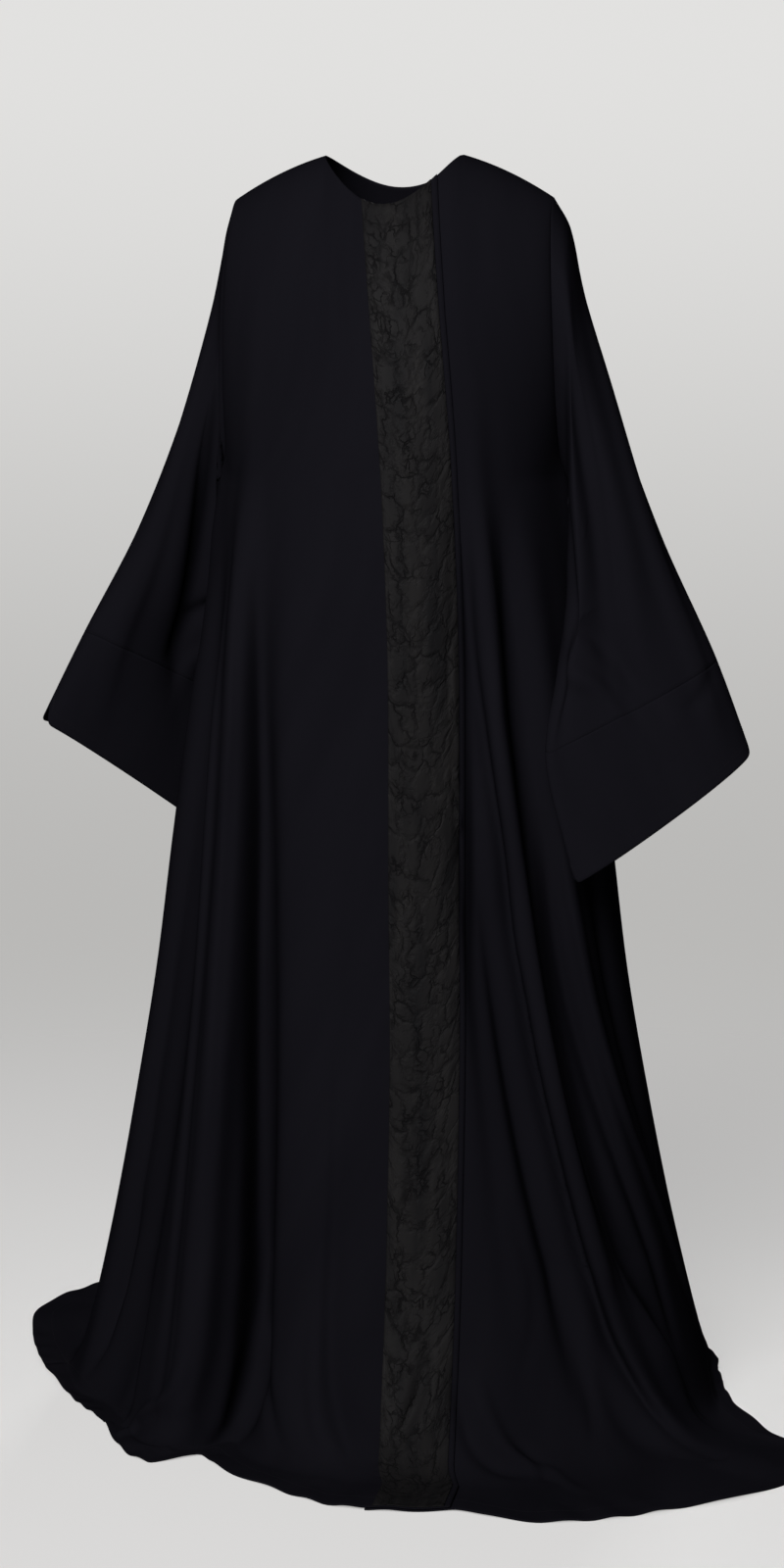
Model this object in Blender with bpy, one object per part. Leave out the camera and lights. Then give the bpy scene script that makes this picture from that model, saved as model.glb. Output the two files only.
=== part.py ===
"""An open-front abaya as it hangs when worn, arms held out a little, its hem spread on the floor.

Metres, +Z up. The wearer faces -Y and the wearer's left is +X. The origin is the middle of the neck
opening at the height of the shoulder seams. Heights in the tables are above the floor.
"""

import bmesh
import bpy
import numpy as np

SHOULDER_HEIGHT = 1.42  # from the floor to the shoulder seam at the neck
CLOTH = 0.002  # a heavy crepe with its seam turnings
BAND_CLOTH = 0.001
SEAM_GAP = 0.00035
LAYER_GAP = 0.0006  # between the right front and the left front that it overlaps

# Neck opening and shoulders
NECK_HALF_WIDTH = 0.078
NECK_FRONT_REACH = 0.095
NECK_BACK_REACH = 0.065
SHOULDER_TIP_X = 0.180
SHOULDER_DROP = 0.048  # from the neck to the tip of the shoulder
CHEST_SWING, BACK_SWING = 0.110, 0.090  # how far the cloth runs level over the shoulder before it falls

# Front opening: the right front lies over the left, its edge to the wearer's left of the middle
EDGE_LINE = (  # height, x of the right front's edge
    (0.00, 0.122),
    (0.05, 0.112),
    (0.15, 0.108),
    (0.41, 0.106),
    (0.62, 0.101),
    (0.84, 0.098),
    (1.06, 0.088),
    (1.42, 0.056),
)
FRONT_OVERLAP = 0.088
BAND_INSET = 0.006
BAND_WIDTH = 0.074
OVERLAP_RAMP = 0.035  # how far past the left front's edge the right front comes back to the body line

# The body's plain shape under the folds
UNDERARM = 1.06
UNDERARM_RISE = 0.06  # how steeply the armhole starts upwards from there
FOOT_TOP = 0.19  # below this the cloth swings out towards the floor
SECTIONS = (  # height, half width, front reach, back reach
    (0.00, 0.366, 0.318, 0.340),
    (0.08, 0.350, 0.296, 0.318),
    (0.20, 0.322, 0.264, 0.287),
    (0.35, 0.293, 0.234, 0.254),
    (0.50, 0.268, 0.212, 0.227),
    (0.65, 0.250, 0.196, 0.202),
    (0.80, 0.231, 0.184, 0.180),
    (0.95, 0.207, 0.174, 0.162),
    (1.06, 0.190, 0.165, 0.150),
)
WAIST, KNEE = 0.80, 0.40  # heights at which the fold table gives each fold's place and depth
FOLDS = (
    # top, angle at waist, knee, floor, spread each way, rise at waist, knee, floor
    (1.04, -87, -88, -93, 11, 11, 0.006, 0.010, 0.010),
    (1.02, -71, -66, -64, 7, 8, -0.012, -0.018, -0.030),
    (1.20, -55, -47, -37, 8, 6, 0.014, 0.022, 0.028),
    (1.05, -43, -35, -27, 5, 8, -0.012, -0.028, -0.042),
    (1.05, 31, 33, 35, 3, 4, -0.022, -0.006, 0.000),
    (1.03, 34, 41, 52, 3, 3, -0.004, -0.018, -0.020),
    (1.15, 39, 48, 58, 5, 5, 0.018, 0.025, 0.030),
    (1.05, 49, 55, 70, 4, 5, -0.012, -0.014, -0.012),
    (1.05, 58, 64, 84, 6, 7, 0.010, 0.012, 0.004),
    (1.18, 112, 112, 113, 9, 9, 0.008, 0.018, 0.024),
    (1.12, 127, 129, 130, 7, 7, -0.012, -0.022, -0.034),
    (1.22, 144, 145, 147, 9, 8, 0.012, 0.022, 0.030),
    (1.15, 160, 161, 163, 7, 8, -0.012, -0.024, -0.034),
    (1.24, 178, 177, 176, 9, 9, 0.012, 0.024, 0.034),
    (1.14, 196, 194, 192, 8, 7, -0.013, -0.022, -0.034),
    (1.20, 212, 213, 214, 8, 9, 0.012, 0.020, 0.030),
    (1.12, 229, 230, 231, 7, 7, -0.010, -0.022, -0.032),
    (1.10, 247, 247, 246, 9, 8, 0.008, 0.018, 0.024),
)
HEM = (  # direction from the front, distance of the hem on the floor
    (-90, 0.422),
    (-81, 0.396),
    (-70, 0.379),
    (-57, 0.367),
    (-43, 0.394),
    (-37, 0.408),
    (-33, 0.410),
    (-31, 0.392),
    (-28.5, 0.356),
    (-25, 0.368),
    (-18, 0.394),
    (-11, 0.416),
    (-6, 0.437),
    (2, 0.466),
    (9, 0.474),
    (15, 0.475),
    (19, 0.498),
    (25, 0.532),
    (32, 0.544),
    (40, 0.550),
    (48, 0.561),
    (58, 0.569),
    (63.5, 0.565),
    (67, 0.540),
    (70, 0.484),
    (78, 0.428),
    (86, 0.396),
    (95, 0.384),
    (105, 0.398),
    (117, 0.450),
    (130, 0.470),
    (147, 0.535),
    (162, 0.540),
    (176, 0.590),
    (192, 0.570),
    (206, 0.605),
    (218, 0.605),
    (228, 0.574),
    (236, 0.562),
    (243, 0.545),
    (254, 0.488),
    (263, 0.447),
)
TOUCH_SHARE = 0.50  # how much of the spread the cloth takes to reach the floor
FLOOR_RIPPLE = 0.25  # a fold's height on the floor, as a share of its rise

# Sleeves: share of the length, then the outer and the inner line (x, y, height), then how far the front
# of the sleeve swings out from the outer and from the inner line, and how far the back does
SLEEVE_LEFT = (
    (0.00, 0.180, 0.000, 1.372, 0.190, 0.000, 1.060, 0.092, 0.092, 0.096, 0.084),
    (0.06, 0.199, -0.002, 1.338, 0.201, -0.020, 1.040, 0.090, 0.092, 0.094, 0.080),
    (0.20, 0.218, -0.008, 1.250, 0.203, -0.069, 0.985, 0.080, 0.080, 0.086, 0.060),
    (0.40, 0.258, -0.027, 1.123, 0.205, -0.108, 0.915, 0.070, 0.066, 0.080, 0.046),
    (0.60, 0.306, -0.048, 0.998, 0.198, -0.138, 0.843, 0.064, 0.054, 0.074, 0.038),
    (0.80, 0.371, -0.080, 0.862, 0.188, -0.165, 0.764, 0.056, 0.040, 0.062, 0.030),
    (1.00, 0.410, -0.098, 0.762, 0.223, -0.180, 0.622, 0.050, 0.030, 0.052, 0.026),
)
SLEEVE_RIGHT = (
    (0.00, -0.180, 0.000, 1.372, -0.190, 0.000, 1.060, 0.092, 0.092, 0.096, 0.084),
    (0.06, -0.191, 0.000, 1.336, -0.201, 0.014, 1.040, 0.090, 0.086, 0.094, 0.082),
    (0.20, -0.209, 0.002, 1.250, -0.206, 0.050, 0.985, 0.080, 0.070, 0.084, 0.074),
    (0.40, -0.248, 0.004, 1.125, -0.213, 0.076, 0.920, 0.074, 0.044, 0.076, 0.062),
    (0.60, -0.298, 0.004, 1.000, -0.227, 0.090, 0.860, 0.068, 0.030, 0.070, 0.056),
    (0.80, -0.363, 0.002, 0.877, -0.238, 0.112, 0.800, 0.060, 0.022, 0.062, 0.046),
    (1.00, -0.416, 0.000, 0.772, -0.248, 0.128, 0.633, 0.052, 0.020, 0.052, 0.034),
)
CUFF_START = 0.80
SLEEVE_FOLDS = (
    # turn round the sleeve at armhole and cuff (0 and 2 outer line, 1 inner line),
    # share of the length where it starts and ends, spread, rise
    (0.30, 0.46, 0.00, 0.80, 0.10, 0.008),
    (0.48, 0.66, 0.05, 0.95, 0.09, -0.009),
    (0.66, 0.84, 0.00, 0.90, 0.10, 0.009),
    (1.30, 1.20, 0.05, 0.90, 0.10, 0.009),
    (1.50, 1.38, 0.00, 0.95, 0.10, -0.008),
    (1.72, 1.58, 0.05, 0.85, 0.10, 0.008),
)

# How finely each solid is divided
UPPER_ROWS, FALL_ROWS, FOOT_ROWS, FLOOR_ROWS = 12, 10, 7, 3
SLEEVE_RINGS, CUFF_RINGS = 9, 4
EPSILON = 1e-4
SIDE = 90 - 1e-6  # the side seam's direction, as seen from a front
NECK_CORNER = np.degrees(np.arcsin(NECK_HALF_WIDTH / SHOULDER_TIP_X))  # the column at the neck's side

BLACK_CREPE = ("black_crepe", (0.012, 0.012, 0.014), 0.55)
BLACK_JACQUARD = ("black_jacquard", (0.020, 0.018, 0.018), 0.45)


def smooth(stations, values, at):
    """A curve through a table's values that never overshoots them (cubic, with limited slopes)."""
    x, y, at = np.asarray(stations, float), np.asarray(values, float), np.asarray(at, float)
    step, slope = np.diff(x), np.diff(y) / np.diff(x)
    product = slope[:-1] * slope[1:]
    total = np.where(product > 0, slope[:-1] + slope[1:], 1.0)
    tangent = np.concatenate([slope[:1], np.where(product > 0, 2 * product / total, 0.0), slope[-1:]])
    i = np.clip(np.searchsorted(x, at) - 1, 0, len(x) - 2)
    t = np.clip((at - x[i]) / step[i], 0, 1)
    return (
        y[i] * (1 + 2 * t) * (1 - t) ** 2
        + y[i + 1] * t * t * (3 - 2 * t)
        + step[i] * t * (1 - t) * (tangent[i] * (1 - t) - tangent[i + 1] * t)
    )


def ease(t):
    """0 to 1 with no slope at either end."""
    t = np.clip(t, 0, 1)
    return t * t * (3 - 2 * t)


def bezier(a, b, c, d, t):
    return a * (1 - t) ** 3 + 3 * b * t * (1 - t) ** 2 + 3 * c * t * t * (1 - t) + d * t**3


def unit(v):
    return v / np.linalg.norm(v, axis=-1, keepdims=True)


def stack(x, y, height):
    return np.stack(np.broadcast_arrays(x, y, height), axis=-1)


def fold_sum(angle, height):
    """How far the folds stand out of the plain shape, in the direction `angle` (degrees from the front)."""
    total = 0.0
    for top, waist, knee, floor, minus, plus, rise_waist, rise_knee, rise_floor in FOLDS:
        centre = smooth((0, KNEE, WAIST), (floor, knee, waist), height)
        rise = smooth((0, KNEE, WAIST, top), (rise_floor, rise_knee, rise_waist, 0), height)
        away = (angle - centre + 180) % 360 - 180
        total = total + rise * np.exp(-((away / np.where(away < 0, minus, plus)) ** 2))
    return total


def fall_radius(angle, height):
    """Distance of the falling cloth from the body's axis."""
    heights, widths, fronts, backs = zip(*SECTIONS)
    sine, cosine = np.sin(np.radians(angle)), np.cos(np.radians(angle))
    reach = np.where(cosine > 0, smooth(heights, fronts, height), smooth(heights, backs, height))
    plain = 1 / np.hypot(sine / smooth(heights, widths, height), cosine / reach)
    return plain + fold_sum(angle, height)


def hem_radius(angle):
    angles, radii = np.array(HEM, float).T
    turned = (np.asarray(angle, float) + 90) % 360 - 90
    return smooth(np.append(angles, angles[0] + 360), np.append(radii, radii[0]), turned)


def profile(angle, down):
    """Distance from the axis and height: down 0 to 1 falls from the underarm, 1 to 2 swings out
    to the floor and 2 to 3 lies on it."""
    height = UNDERARM + (FOOT_TOP - UNDERARM) * np.clip(down, 0, 1)
    falling = fall_radius(angle, height)
    start, foot, hem = fall_radius(angle, FOOT_TOP), fall_radius(angle, 0.0), hem_radius(angle)
    hem = np.maximum(hem, foot + 0.012)
    touch = foot + TOUCH_SHARE * (hem - foot)
    t = np.clip(down - 1, 0, 1)
    swing_radius = bezier(start, start + 0.72 * (foot - start), foot + 0.25 * (touch - foot), touch, t)
    swing_height = bezier(FOOT_TOP, 0.28 * FOOT_TOP, CLOTH, CLOTH, t)
    run = np.clip(down - 2, 0, 1)
    window = np.sin(np.pi * np.clip(down - 1.4, 0, 1.6) / 1.6) ** 2
    ripple = FLOOR_RIPPLE * np.maximum(fold_sum(angle, 0.0), 0) * window
    radius = np.where(down <= 1, falling, swing_radius + run * (hem - touch))
    return radius, np.where(down <= 1, height, swing_height + ripple)


def at_front(angle):
    return np.cos(np.radians(angle)) > 1e-9


def yoke(angle, t):
    """The cloth over the shoulders and chest, t 0 to 1 from the shoulder's ridge down to the underarm. The
    neck opening is still covered."""
    front = at_front(angle)
    facing = np.where(front, -1.0, 1.0)
    to_side = np.abs(np.where(front, (angle + 180) % 360 - 180, angle % 360 - 180)) / 90
    first = SLEEVE_LEFT[0]
    swing = np.where(front, CHEST_SWING, BACK_SWING)
    swing = swing + (np.where(front, first[7], first[9]) - swing) * to_side**2
    at_side = to_side**3
    ridge_x = SHOULDER_TIP_X * np.sin(np.radians(angle))
    curve = SHOULDER_DROP / (SHOULDER_TIP_X**2 - NECK_HALF_WIDTH**2)
    top = stack(ridge_x, 0.0, SHOULDER_HEIGHT - curve * (ridge_x**2 - NECK_HALF_WIDTH**2))
    underarm, below = ring(angle, 0.0), ring(angle, EPSILON)
    rising = unit(underarm - below) * (0.16 * (1 - at_side))[..., None]
    under_swing = np.where(front, first[8], first[10])
    arrive = rising + stack(0.0, facing * under_swing, UNDERARM_RISE) * at_side[..., None]
    return bezier(top, top + stack(0.0, facing * swing, 0.0), underarm + arrive, underarm, t[..., None])


def ring(angle, down):
    radius, height = profile(angle, down)
    return stack(radius * np.sin(np.radians(angle)), -radius * np.cos(np.radians(angle)), height)


def neck_edge_shares(angle):
    """Where on its column the neck opening's edge is: 0 for a column that starts on the shoulder seam."""
    low, high = np.zeros_like(angle), np.full_like(angle, 0.7)
    for _ in range(24):
        middle = (low + high) / 2
        x, y, _ = np.moveaxis(yoke(angle, middle), -1, 0)
        covered = np.hypot(x / NECK_HALF_WIDTH, y / np.where(y < 0, NECK_FRONT_REACH, NECK_BACK_REACH)) < 1
        low, high = np.where(covered, middle, low), np.where(covered, high, middle)
    return np.where(np.abs(SHOULDER_TIP_X * np.sin(np.radians(angle))) < NECK_HALF_WIDTH - 1e-9, high, 0.0)


def neck_share(angle):
    turned = (angle + 90) % 360 - 90
    return np.interp(turned, *NECK_EDGE)


def surface(angle, v):
    return np.where((v < 0)[..., None], yoke(angle, np.minimum(v, 0) + 1), ring(angle, np.maximum(v, 0)))


def body_place(angle, down, start):
    angle, down, start = np.broadcast_arrays(*(np.asarray(value, float) for value in (angle, down, start)))
    return angle, np.where(down < 0, down * (1 - start), down)


def body(angle, down, start=0.0):
    """A point of the body's cloth. down -1 to 0 goes from the top of its column to the underarm, then as in
    profile. start is the column's share that the neck opening takes."""
    return surface(*body_place(angle, down, start))


def body_normal(angle, down, start=0.0):
    angle, v = body_place(angle, down, start)
    side = np.sign(np.sin(np.radians(angle)))
    at_edge = np.abs(np.abs((angle + 180) % 360 - 180) - 90) < 1e-5
    inward = np.where(at_edge, np.where(at_front(angle), -side, side), 0.0)
    before, after = angle - np.where(inward > 0, 0, 0.05), angle + np.where(inward < 0, 0, 0.05)
    across = surface(after, v) - surface(before, v)
    along = surface(angle, np.minimum(v + EPSILON, 3)) - surface(angle, np.maximum(v - EPSILON, -1))
    return unit(np.cross(along, across))


def angle_at(x, down):
    """The direction in which the body's front has this x, down one column."""
    angle = np.zeros(np.broadcast(x, down).shape)
    for _ in range(8):
        place = body(angle, down, neck_share(angle[:1]))
        angle = angle + 0.8 * np.degrees((x - place[..., 0]) / np.maximum(-place[..., 1], 0.12))
    return angle


def edge_x(down):
    """x of the right front's edge, all the way down."""
    heights, places = zip(*EDGE_LINE)
    upper = UNDERARM - (SHOULDER_HEIGHT - UNDERARM) * np.minimum(down, 0)
    fall = upper + (FOOT_TOP - UNDERARM) * np.clip(down, 0, 1)
    return smooth(heights, places, fall * (1 - np.clip(down - 1, 0, 1)))


def sleeve(table, turn, share):
    """A point of a sleeve. turn 0 to 1 goes from the outer line to the inner line round the front,
    1 to 2 back round the back of the arm."""
    turn, share = np.broadcast_arrays(np.asarray(turn, float), np.asarray(share, float))
    columns = np.array(table, float).T
    value = [smooth(columns[0], column, share) for column in columns[1:]]
    outer, inner = stack(*value[0:3]), stack(*value[3:6])
    last = np.array(table[-1][1:7], float)
    across = last[3:5] - last[0:2]
    facing = np.array([-across[1], across[0]]) * np.sign(-across[0])
    facing = unit(np.stack([(facing[0]) * share, facing[1] * share - (1 - share) * 0.2], axis=-1))
    forward = stack(facing[..., 0], facing[..., 1], 0.0)
    front = (turn <= 1)[..., None]
    t = np.where(turn <= 1, turn, 2 - turn)[..., None]
    from_outer = np.where(front, value[6][..., None] * forward, -value[8][..., None] * forward)
    from_inner = np.where(front, value[7][..., None] * forward, -value[9][..., None] * forward)
    from_inner = from_inner + stack(0.0, 0.0, UNDERARM_RISE * (1 - share) ** 3)
    point = bezier(outer, outer + from_outer, inner + from_inner, inner, t)
    centre = (outer + inner) / 2
    lift = 0.0
    for start_turn, end_turn, start, end, spread, rise in SLEEVE_FOLDS:
        middle = start_turn + (end_turn - start_turn) * ease(share)
        window = ease((share - start) / 0.25) * ease((end - share) / 0.25)
        lift = lift + rise * window * np.exp(-(((turn - middle) / spread) ** 2))
    return point + unit(point - centre) * np.asarray(lift)[..., None]


def sleeve_normal(table, turn, share):
    turn, share = np.broadcast_arrays(np.asarray(turn, float), np.asarray(share, float))
    low, high = np.maximum(share - EPSILON, 0), np.minimum(share + EPSILON, 1)
    along = sleeve(table, turn, high) - sleeve(table, turn, low)
    around = sleeve(table, (turn + EPSILON) % 2, share) - sleeve(table, (turn - EPSILON) % 2, share)
    side = np.sign(table[0][1])
    return unit(np.cross(around, along) * side)


def armhole_mitre(table, turn):
    """The direction shared by the cut edges of body and sleeve at the armhole, and the way out
    into the sleeve."""
    side = np.sign(table[0][1])
    front = turn <= 1
    angle = np.where(front, side * SIDE, 180 - side * SIDE)
    down = np.where(front, turn, 2 - turn) - 1
    outward = body_normal(angle, down)
    mitre = unit(outward + sleeve_normal(table, turn, np.zeros_like(turn)))
    around = sleeve(table, (turn + EPSILON) % 2, 0.0) - sleeve(table, (turn - EPSILON) % 2, 0.0)
    way = unit(np.cross(mitre, around))
    out = unit(sleeve(table, turn, 0.02) - sleeve(table, turn, 0.0))
    back_in = unit(body(angle + np.where(front, -side, side), down) - body(angle, down))
    sign = np.where((way * (out - back_in)).sum(-1) < 0, -1.0, 1.0)
    return mitre, way * sign[..., None]


def material(finish):
    name, colour, roughness = finish
    made = bpy.data.materials.get(name) or bpy.data.materials.new(name)
    made.use_nodes = True
    shader = made.node_tree.nodes["Principled BSDF"]
    shader.inputs["Base Color"].default_value = (*colour, 1.0)
    shader.inputs["Roughness"].default_value = roughness
    shader.inputs["Metallic"].default_value = 0.0
    return made


def wall(name, outside, inside, finish, ring=False):
    """A closed sheet between two grids of points. Rows run down; with ring the last column meets
    the first."""
    rows, columns = outside.shape[:2]
    mesh = bmesh.new()
    drop = np.array([0, 0, SHOULDER_HEIGHT])
    faces_out = [[mesh.verts.new(p - drop) for p in row] for row in outside]
    faces_in = [[mesh.verts.new(p - drop) for p in row] for row in inside]
    last = columns if ring else columns - 1

    def quad(a, b, c, d):
        mesh.faces.new((a, b, c, d))

    for i in range(rows - 1):
        for j in range(last):
            k = (j + 1) % columns
            quad(faces_out[i][j], faces_out[i + 1][j], faces_out[i + 1][k], faces_out[i][k])
            quad(faces_in[i][j], faces_in[i][k], faces_in[i + 1][k], faces_in[i + 1][j])
        if not ring:
            for j, flip in ((0, False), (columns - 1, True)):
                edge = (faces_out[i][j], faces_in[i][j], faces_in[i + 1][j], faces_out[i + 1][j])
                quad(*(edge[::-1] if flip else edge))
    for j in range(last):
        k = (j + 1) % columns
        quad(faces_out[0][j], faces_out[0][k], faces_in[0][k], faces_in[0][j])
        quad(faces_out[-1][j], faces_in[-1][j], faces_in[-1][k], faces_out[-1][k])
    if mesh.calc_volume(signed=True) < 0:
        bmesh.ops.reverse_faces(mesh, faces=mesh.faces)
    data = bpy.data.meshes.new(name)
    mesh.to_mesh(data)
    mesh.free()
    data.shade_smooth()
    data.set_sharp_from_angle(angle=np.radians(50))
    data.materials.append(material(finish))
    made = bpy.data.objects.new(name, data)
    bpy.context.scene.collection.objects.link(made)
    return made


def row_stations():
    """down values of the rows, the same on every panel so that their seams match."""
    upper = np.linspace(-1, 0, UPPER_ROWS + 1)[:-1]
    fall = np.linspace(0, 1, FALL_ROWS + 1)[:-1]
    foot = np.linspace(1, 2, FOOT_ROWS + 1)[:-1]
    return np.concatenate([upper, fall, foot, np.linspace(2, 3, FLOOR_ROWS + 1)])[:, None]


def steps(*runs):
    """Stations from 0 to 1: each run is (its end, how many steps it takes)."""
    made, start = [0.0], 0.0
    for end, count in runs:
        made += list(start + (end - start) * np.arange(1, count + 1) / count)
        start = end
    return np.array(made)


def edge_columns(down, offsets):
    """Angles of the columns that run at fixed distances from the right front's edge."""
    return np.concatenate([angle_at(edge_x(down) + offset, down) for offset in offsets], axis=1)


def panel_grids(angle, down, armholes, raised=0.0):
    """Outer and inner points of a panel, cut back by half a seam gap where it meets its neighbours."""
    start = neck_share(angle[:1])
    outward = body_normal(angle, down, start)
    points = body(angle, down, start)
    facing = -1 if at_front(angle[0].mean()) else 1
    cut_back = np.zeros_like(points)
    cut_back[0, :, 1] = np.where(np.abs(points[0, :, 1]) < 1e-6, facing * SEAM_GAP / 2, 0)
    for column, table in armholes:
        rows = slice(0, UPPER_ROWS + 1)
        turn = 1 + down[rows, 0] if facing < 0 else 1 - down[rows, 0]
        mitre, way = armhole_mitre(table, turn)
        outward[rows, column] = mitre
        cut_back[rows, column] -= way * SEAM_GAP / 2
        cut_back[UPPER_ROWS:, column, 1] += facing * SEAM_GAP / 2
    points = points + cut_back + outward * np.asarray(raised)[..., None]
    return points, points - outward * CLOTH


def right_front(down):
    """The wearer's right front, which lies over the left one, and the band sewn along its edge."""
    band_lines = [-BAND_INSET - BAND_WIDTH * share for share in (0, 1 / 3, 2 / 3, 1)]
    lines = [0.0, *band_lines, -FRONT_OVERLAP - 0.003, -FRONT_OVERLAP - OVERLAP_RAMP]
    near_edge = edge_columns(down, lines)
    turn = near_edge[:, -1:]
    corner = (90 - NECK_CORNER) / (90 + turn[0, 0])
    shares = steps((0.2, 3), (0.85, 15), (corner, 2), (1, 2))
    angle = np.concatenate([-SIDE + (turn + SIDE) * shares[None, :-1], near_edge[:, ::-1]], axis=1)
    raised = np.zeros_like(angle)
    raised[:, -len(lines) + 1 :] = CLOTH + LAYER_GAP
    outside, inside = panel_grids(angle, down, [(0, SLEEVE_RIGHT)], raised)
    wall("front_right", outside, inside, BLACK_CREPE)
    banded = slice(-1 - len(band_lines), -1)
    away = unit(outside - inside)[:, banded]
    base = outside[:, banded] + away * SEAM_GAP
    wall("front_band", base + away * BAND_CLOTH, base, BLACK_JACQUARD)


def left_front(down):
    """The wearer's left front, whose edge lies under the right one."""
    band_lines = [-BAND_INSET - BAND_WIDTH * share for share in (1, 2 / 3, 1 / 3, 0)]
    near_edge = edge_columns(down, [-FRONT_OVERLAP, *band_lines, 0.0, 0.012])
    turn = near_edge[:, -1:]
    corner = (NECK_CORNER - turn[0, 0]) / (90 - turn[0, 0])
    shares = steps((corner, 1), (0.8, 17), (1, 3))
    angle = np.concatenate([near_edge, turn + (SIDE - turn) * shares[None, 1:]], axis=1)
    outside, inside = panel_grids(angle, down, [(-1, SLEEVE_LEFT)])
    wall("front_left", outside, inside, BLACK_CREPE)


def back_panel(down):
    """The back, one piece from side seam to side seam."""
    corner = (90 - NECK_CORNER) / 180
    angle = 180 - SIDE + 2 * SIDE * steps((corner, 12), (1 - corner, 12), (1, 12))[None, :] + 0 * down
    outside, inside = panel_grids(angle, down, [(0, SLEEVE_LEFT), (-1, SLEEVE_RIGHT)])
    wall("back", outside, inside, BLACK_CREPE)


def sleeve_and_cuff(side, table):
    """A sleeve set into the armhole, and the deep cuff sewn to its lower edge."""
    turn = np.linspace(0, 2, 2 * UPPER_ROWS + 1)[None, :-1]
    length = np.linalg.norm(sleeve(table, 0.0, 0.99) - sleeve(table, 0.0, 0.0))
    half_gap = SEAM_GAP / 2 / length
    for name, start, end, rings in (
        (f"sleeve_{side}", 0.0, CUFF_START - half_gap, SLEEVE_RINGS),
        (f"cuff_{side}", CUFF_START + half_gap, 1.0, CUFF_RINGS),
    ):
        share = np.linspace(start, end, rings + 1)[:, None]
        outward = sleeve_normal(table, turn, share)
        outside = sleeve(table, turn, share)
        if start == 0.0:
            mitre, way = armhole_mitre(table, turn[0])
            outward[0] = mitre
            outside[0] += way * SEAM_GAP / 2
        wall(name, outside, outside - outward * CLOTH, BLACK_CREPE, ring=True)


NECK_SPREAD = NECK_CORNER * np.sin(np.radians(np.linspace(-90, 90, 61)))
NECK_TURNS = np.concatenate([NECK_SPREAD, NECK_SPREAD + 180])
NECK_EDGE = NECK_TURNS, neck_edge_shares(NECK_TURNS)


def main():
    for old in list(bpy.data.objects):
        bpy.data.objects.remove(old)
    down = row_stations()
    right_front(down)
    left_front(down)
    back_panel(down)
    sleeve_and_cuff("left", SLEEVE_LEFT)
    sleeve_and_cuff("right", SLEEVE_RIGHT)


main()
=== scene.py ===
import bmesh
import bpy
import numpy as np
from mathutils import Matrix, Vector


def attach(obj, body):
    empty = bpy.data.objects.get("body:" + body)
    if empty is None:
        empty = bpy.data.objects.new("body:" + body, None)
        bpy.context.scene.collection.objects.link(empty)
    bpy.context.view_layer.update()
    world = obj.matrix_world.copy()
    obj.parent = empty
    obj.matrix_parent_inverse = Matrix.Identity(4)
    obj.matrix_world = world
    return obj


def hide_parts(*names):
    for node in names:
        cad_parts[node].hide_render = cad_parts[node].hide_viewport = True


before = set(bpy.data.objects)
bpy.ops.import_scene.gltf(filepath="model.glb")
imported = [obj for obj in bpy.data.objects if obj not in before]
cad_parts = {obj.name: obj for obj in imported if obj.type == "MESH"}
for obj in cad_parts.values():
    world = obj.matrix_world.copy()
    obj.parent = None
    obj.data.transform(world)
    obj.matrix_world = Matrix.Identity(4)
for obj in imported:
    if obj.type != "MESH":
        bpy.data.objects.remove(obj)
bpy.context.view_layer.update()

# ---------------------------------------------------------------------------------------------
# Right front. One length of black crepe from the shoulder seam to the floor. It laps over the
# left front, its free edge a little to the wearer's left of the middle, and falls in long folds
# from the bust that open towards the hem, where the spare length lies on the floor.
# ---------------------------------------------------------------------------------------------
SHOULDER_HEIGHT = 1.42  # heights in the tables are above the floor, and the origin is at the neck
LAYER = 0.0012  # one layer of crepe
HEM_LAYERS = 0.002  # where the hem is turned up
PANEL_LIFT = 0.0026  # how far the right front stands off the left front under it

NECK_HALF_WIDTH, NECK_FRONT_REACH, NECK_BACK_REACH = 0.078, 0.095, 0.065
SHOULDER_TIP_X, SHOULDER_DROP = 0.180, 0.048
CHEST_SWING, BACK_SWING, CHEST_FALL = 0.110, 0.090, 0.16  # how the cloth curves over the shoulders
UNDERARM, UNDERARM_RISE, FOOT_TOP = 1.06, 0.06, 0.19
SMALL = 1e-4  # a step along the cloth, to measure its slope
SIDE = 90 - 1e-6  # the side seam's direction, just on the front's side of it


def smooth(stations, values, at):
    """A curve through a table's values that never overshoots them."""
    x, y, at = np.asarray(stations, float), np.asarray(values, float), np.asarray(at, float)
    step, slope = np.diff(x), np.diff(y) / np.diff(x)
    product = slope[:-1] * slope[1:]
    total = np.where(product > 0, slope[:-1] + slope[1:], 1.0)
    tangent = np.concatenate([slope[:1], np.where(product > 0, 2 * product / total, 0.0), slope[-1:]])
    i = np.clip(np.searchsorted(x, at) - 1, 0, len(x) - 2)
    t = np.clip((at - x[i]) / step[i], 0, 1)
    return (
        y[i] * (1 + 2 * t) * (1 - t) ** 2
        + y[i + 1] * t * t * (3 - 2 * t)
        + step[i] * t * (1 - t) * (tangent[i] * (1 - t) - tangent[i + 1] * t)
    )


def ease(t):
    t = np.clip(t, 0, 1)
    return t * t * (3 - 2 * t)


def bezier(a, b, c, d, t):
    return a * (1 - t) ** 3 + 3 * b * t * (1 - t) ** 2 + 3 * c * t * t * (1 - t) + d * t**3


def unit(v):
    return v / np.maximum(np.linalg.norm(v, axis=-1, keepdims=True), 1e-12)


def stack(x, y, height):
    return np.stack(np.broadcast_arrays(x, y, height), axis=-1)


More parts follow.
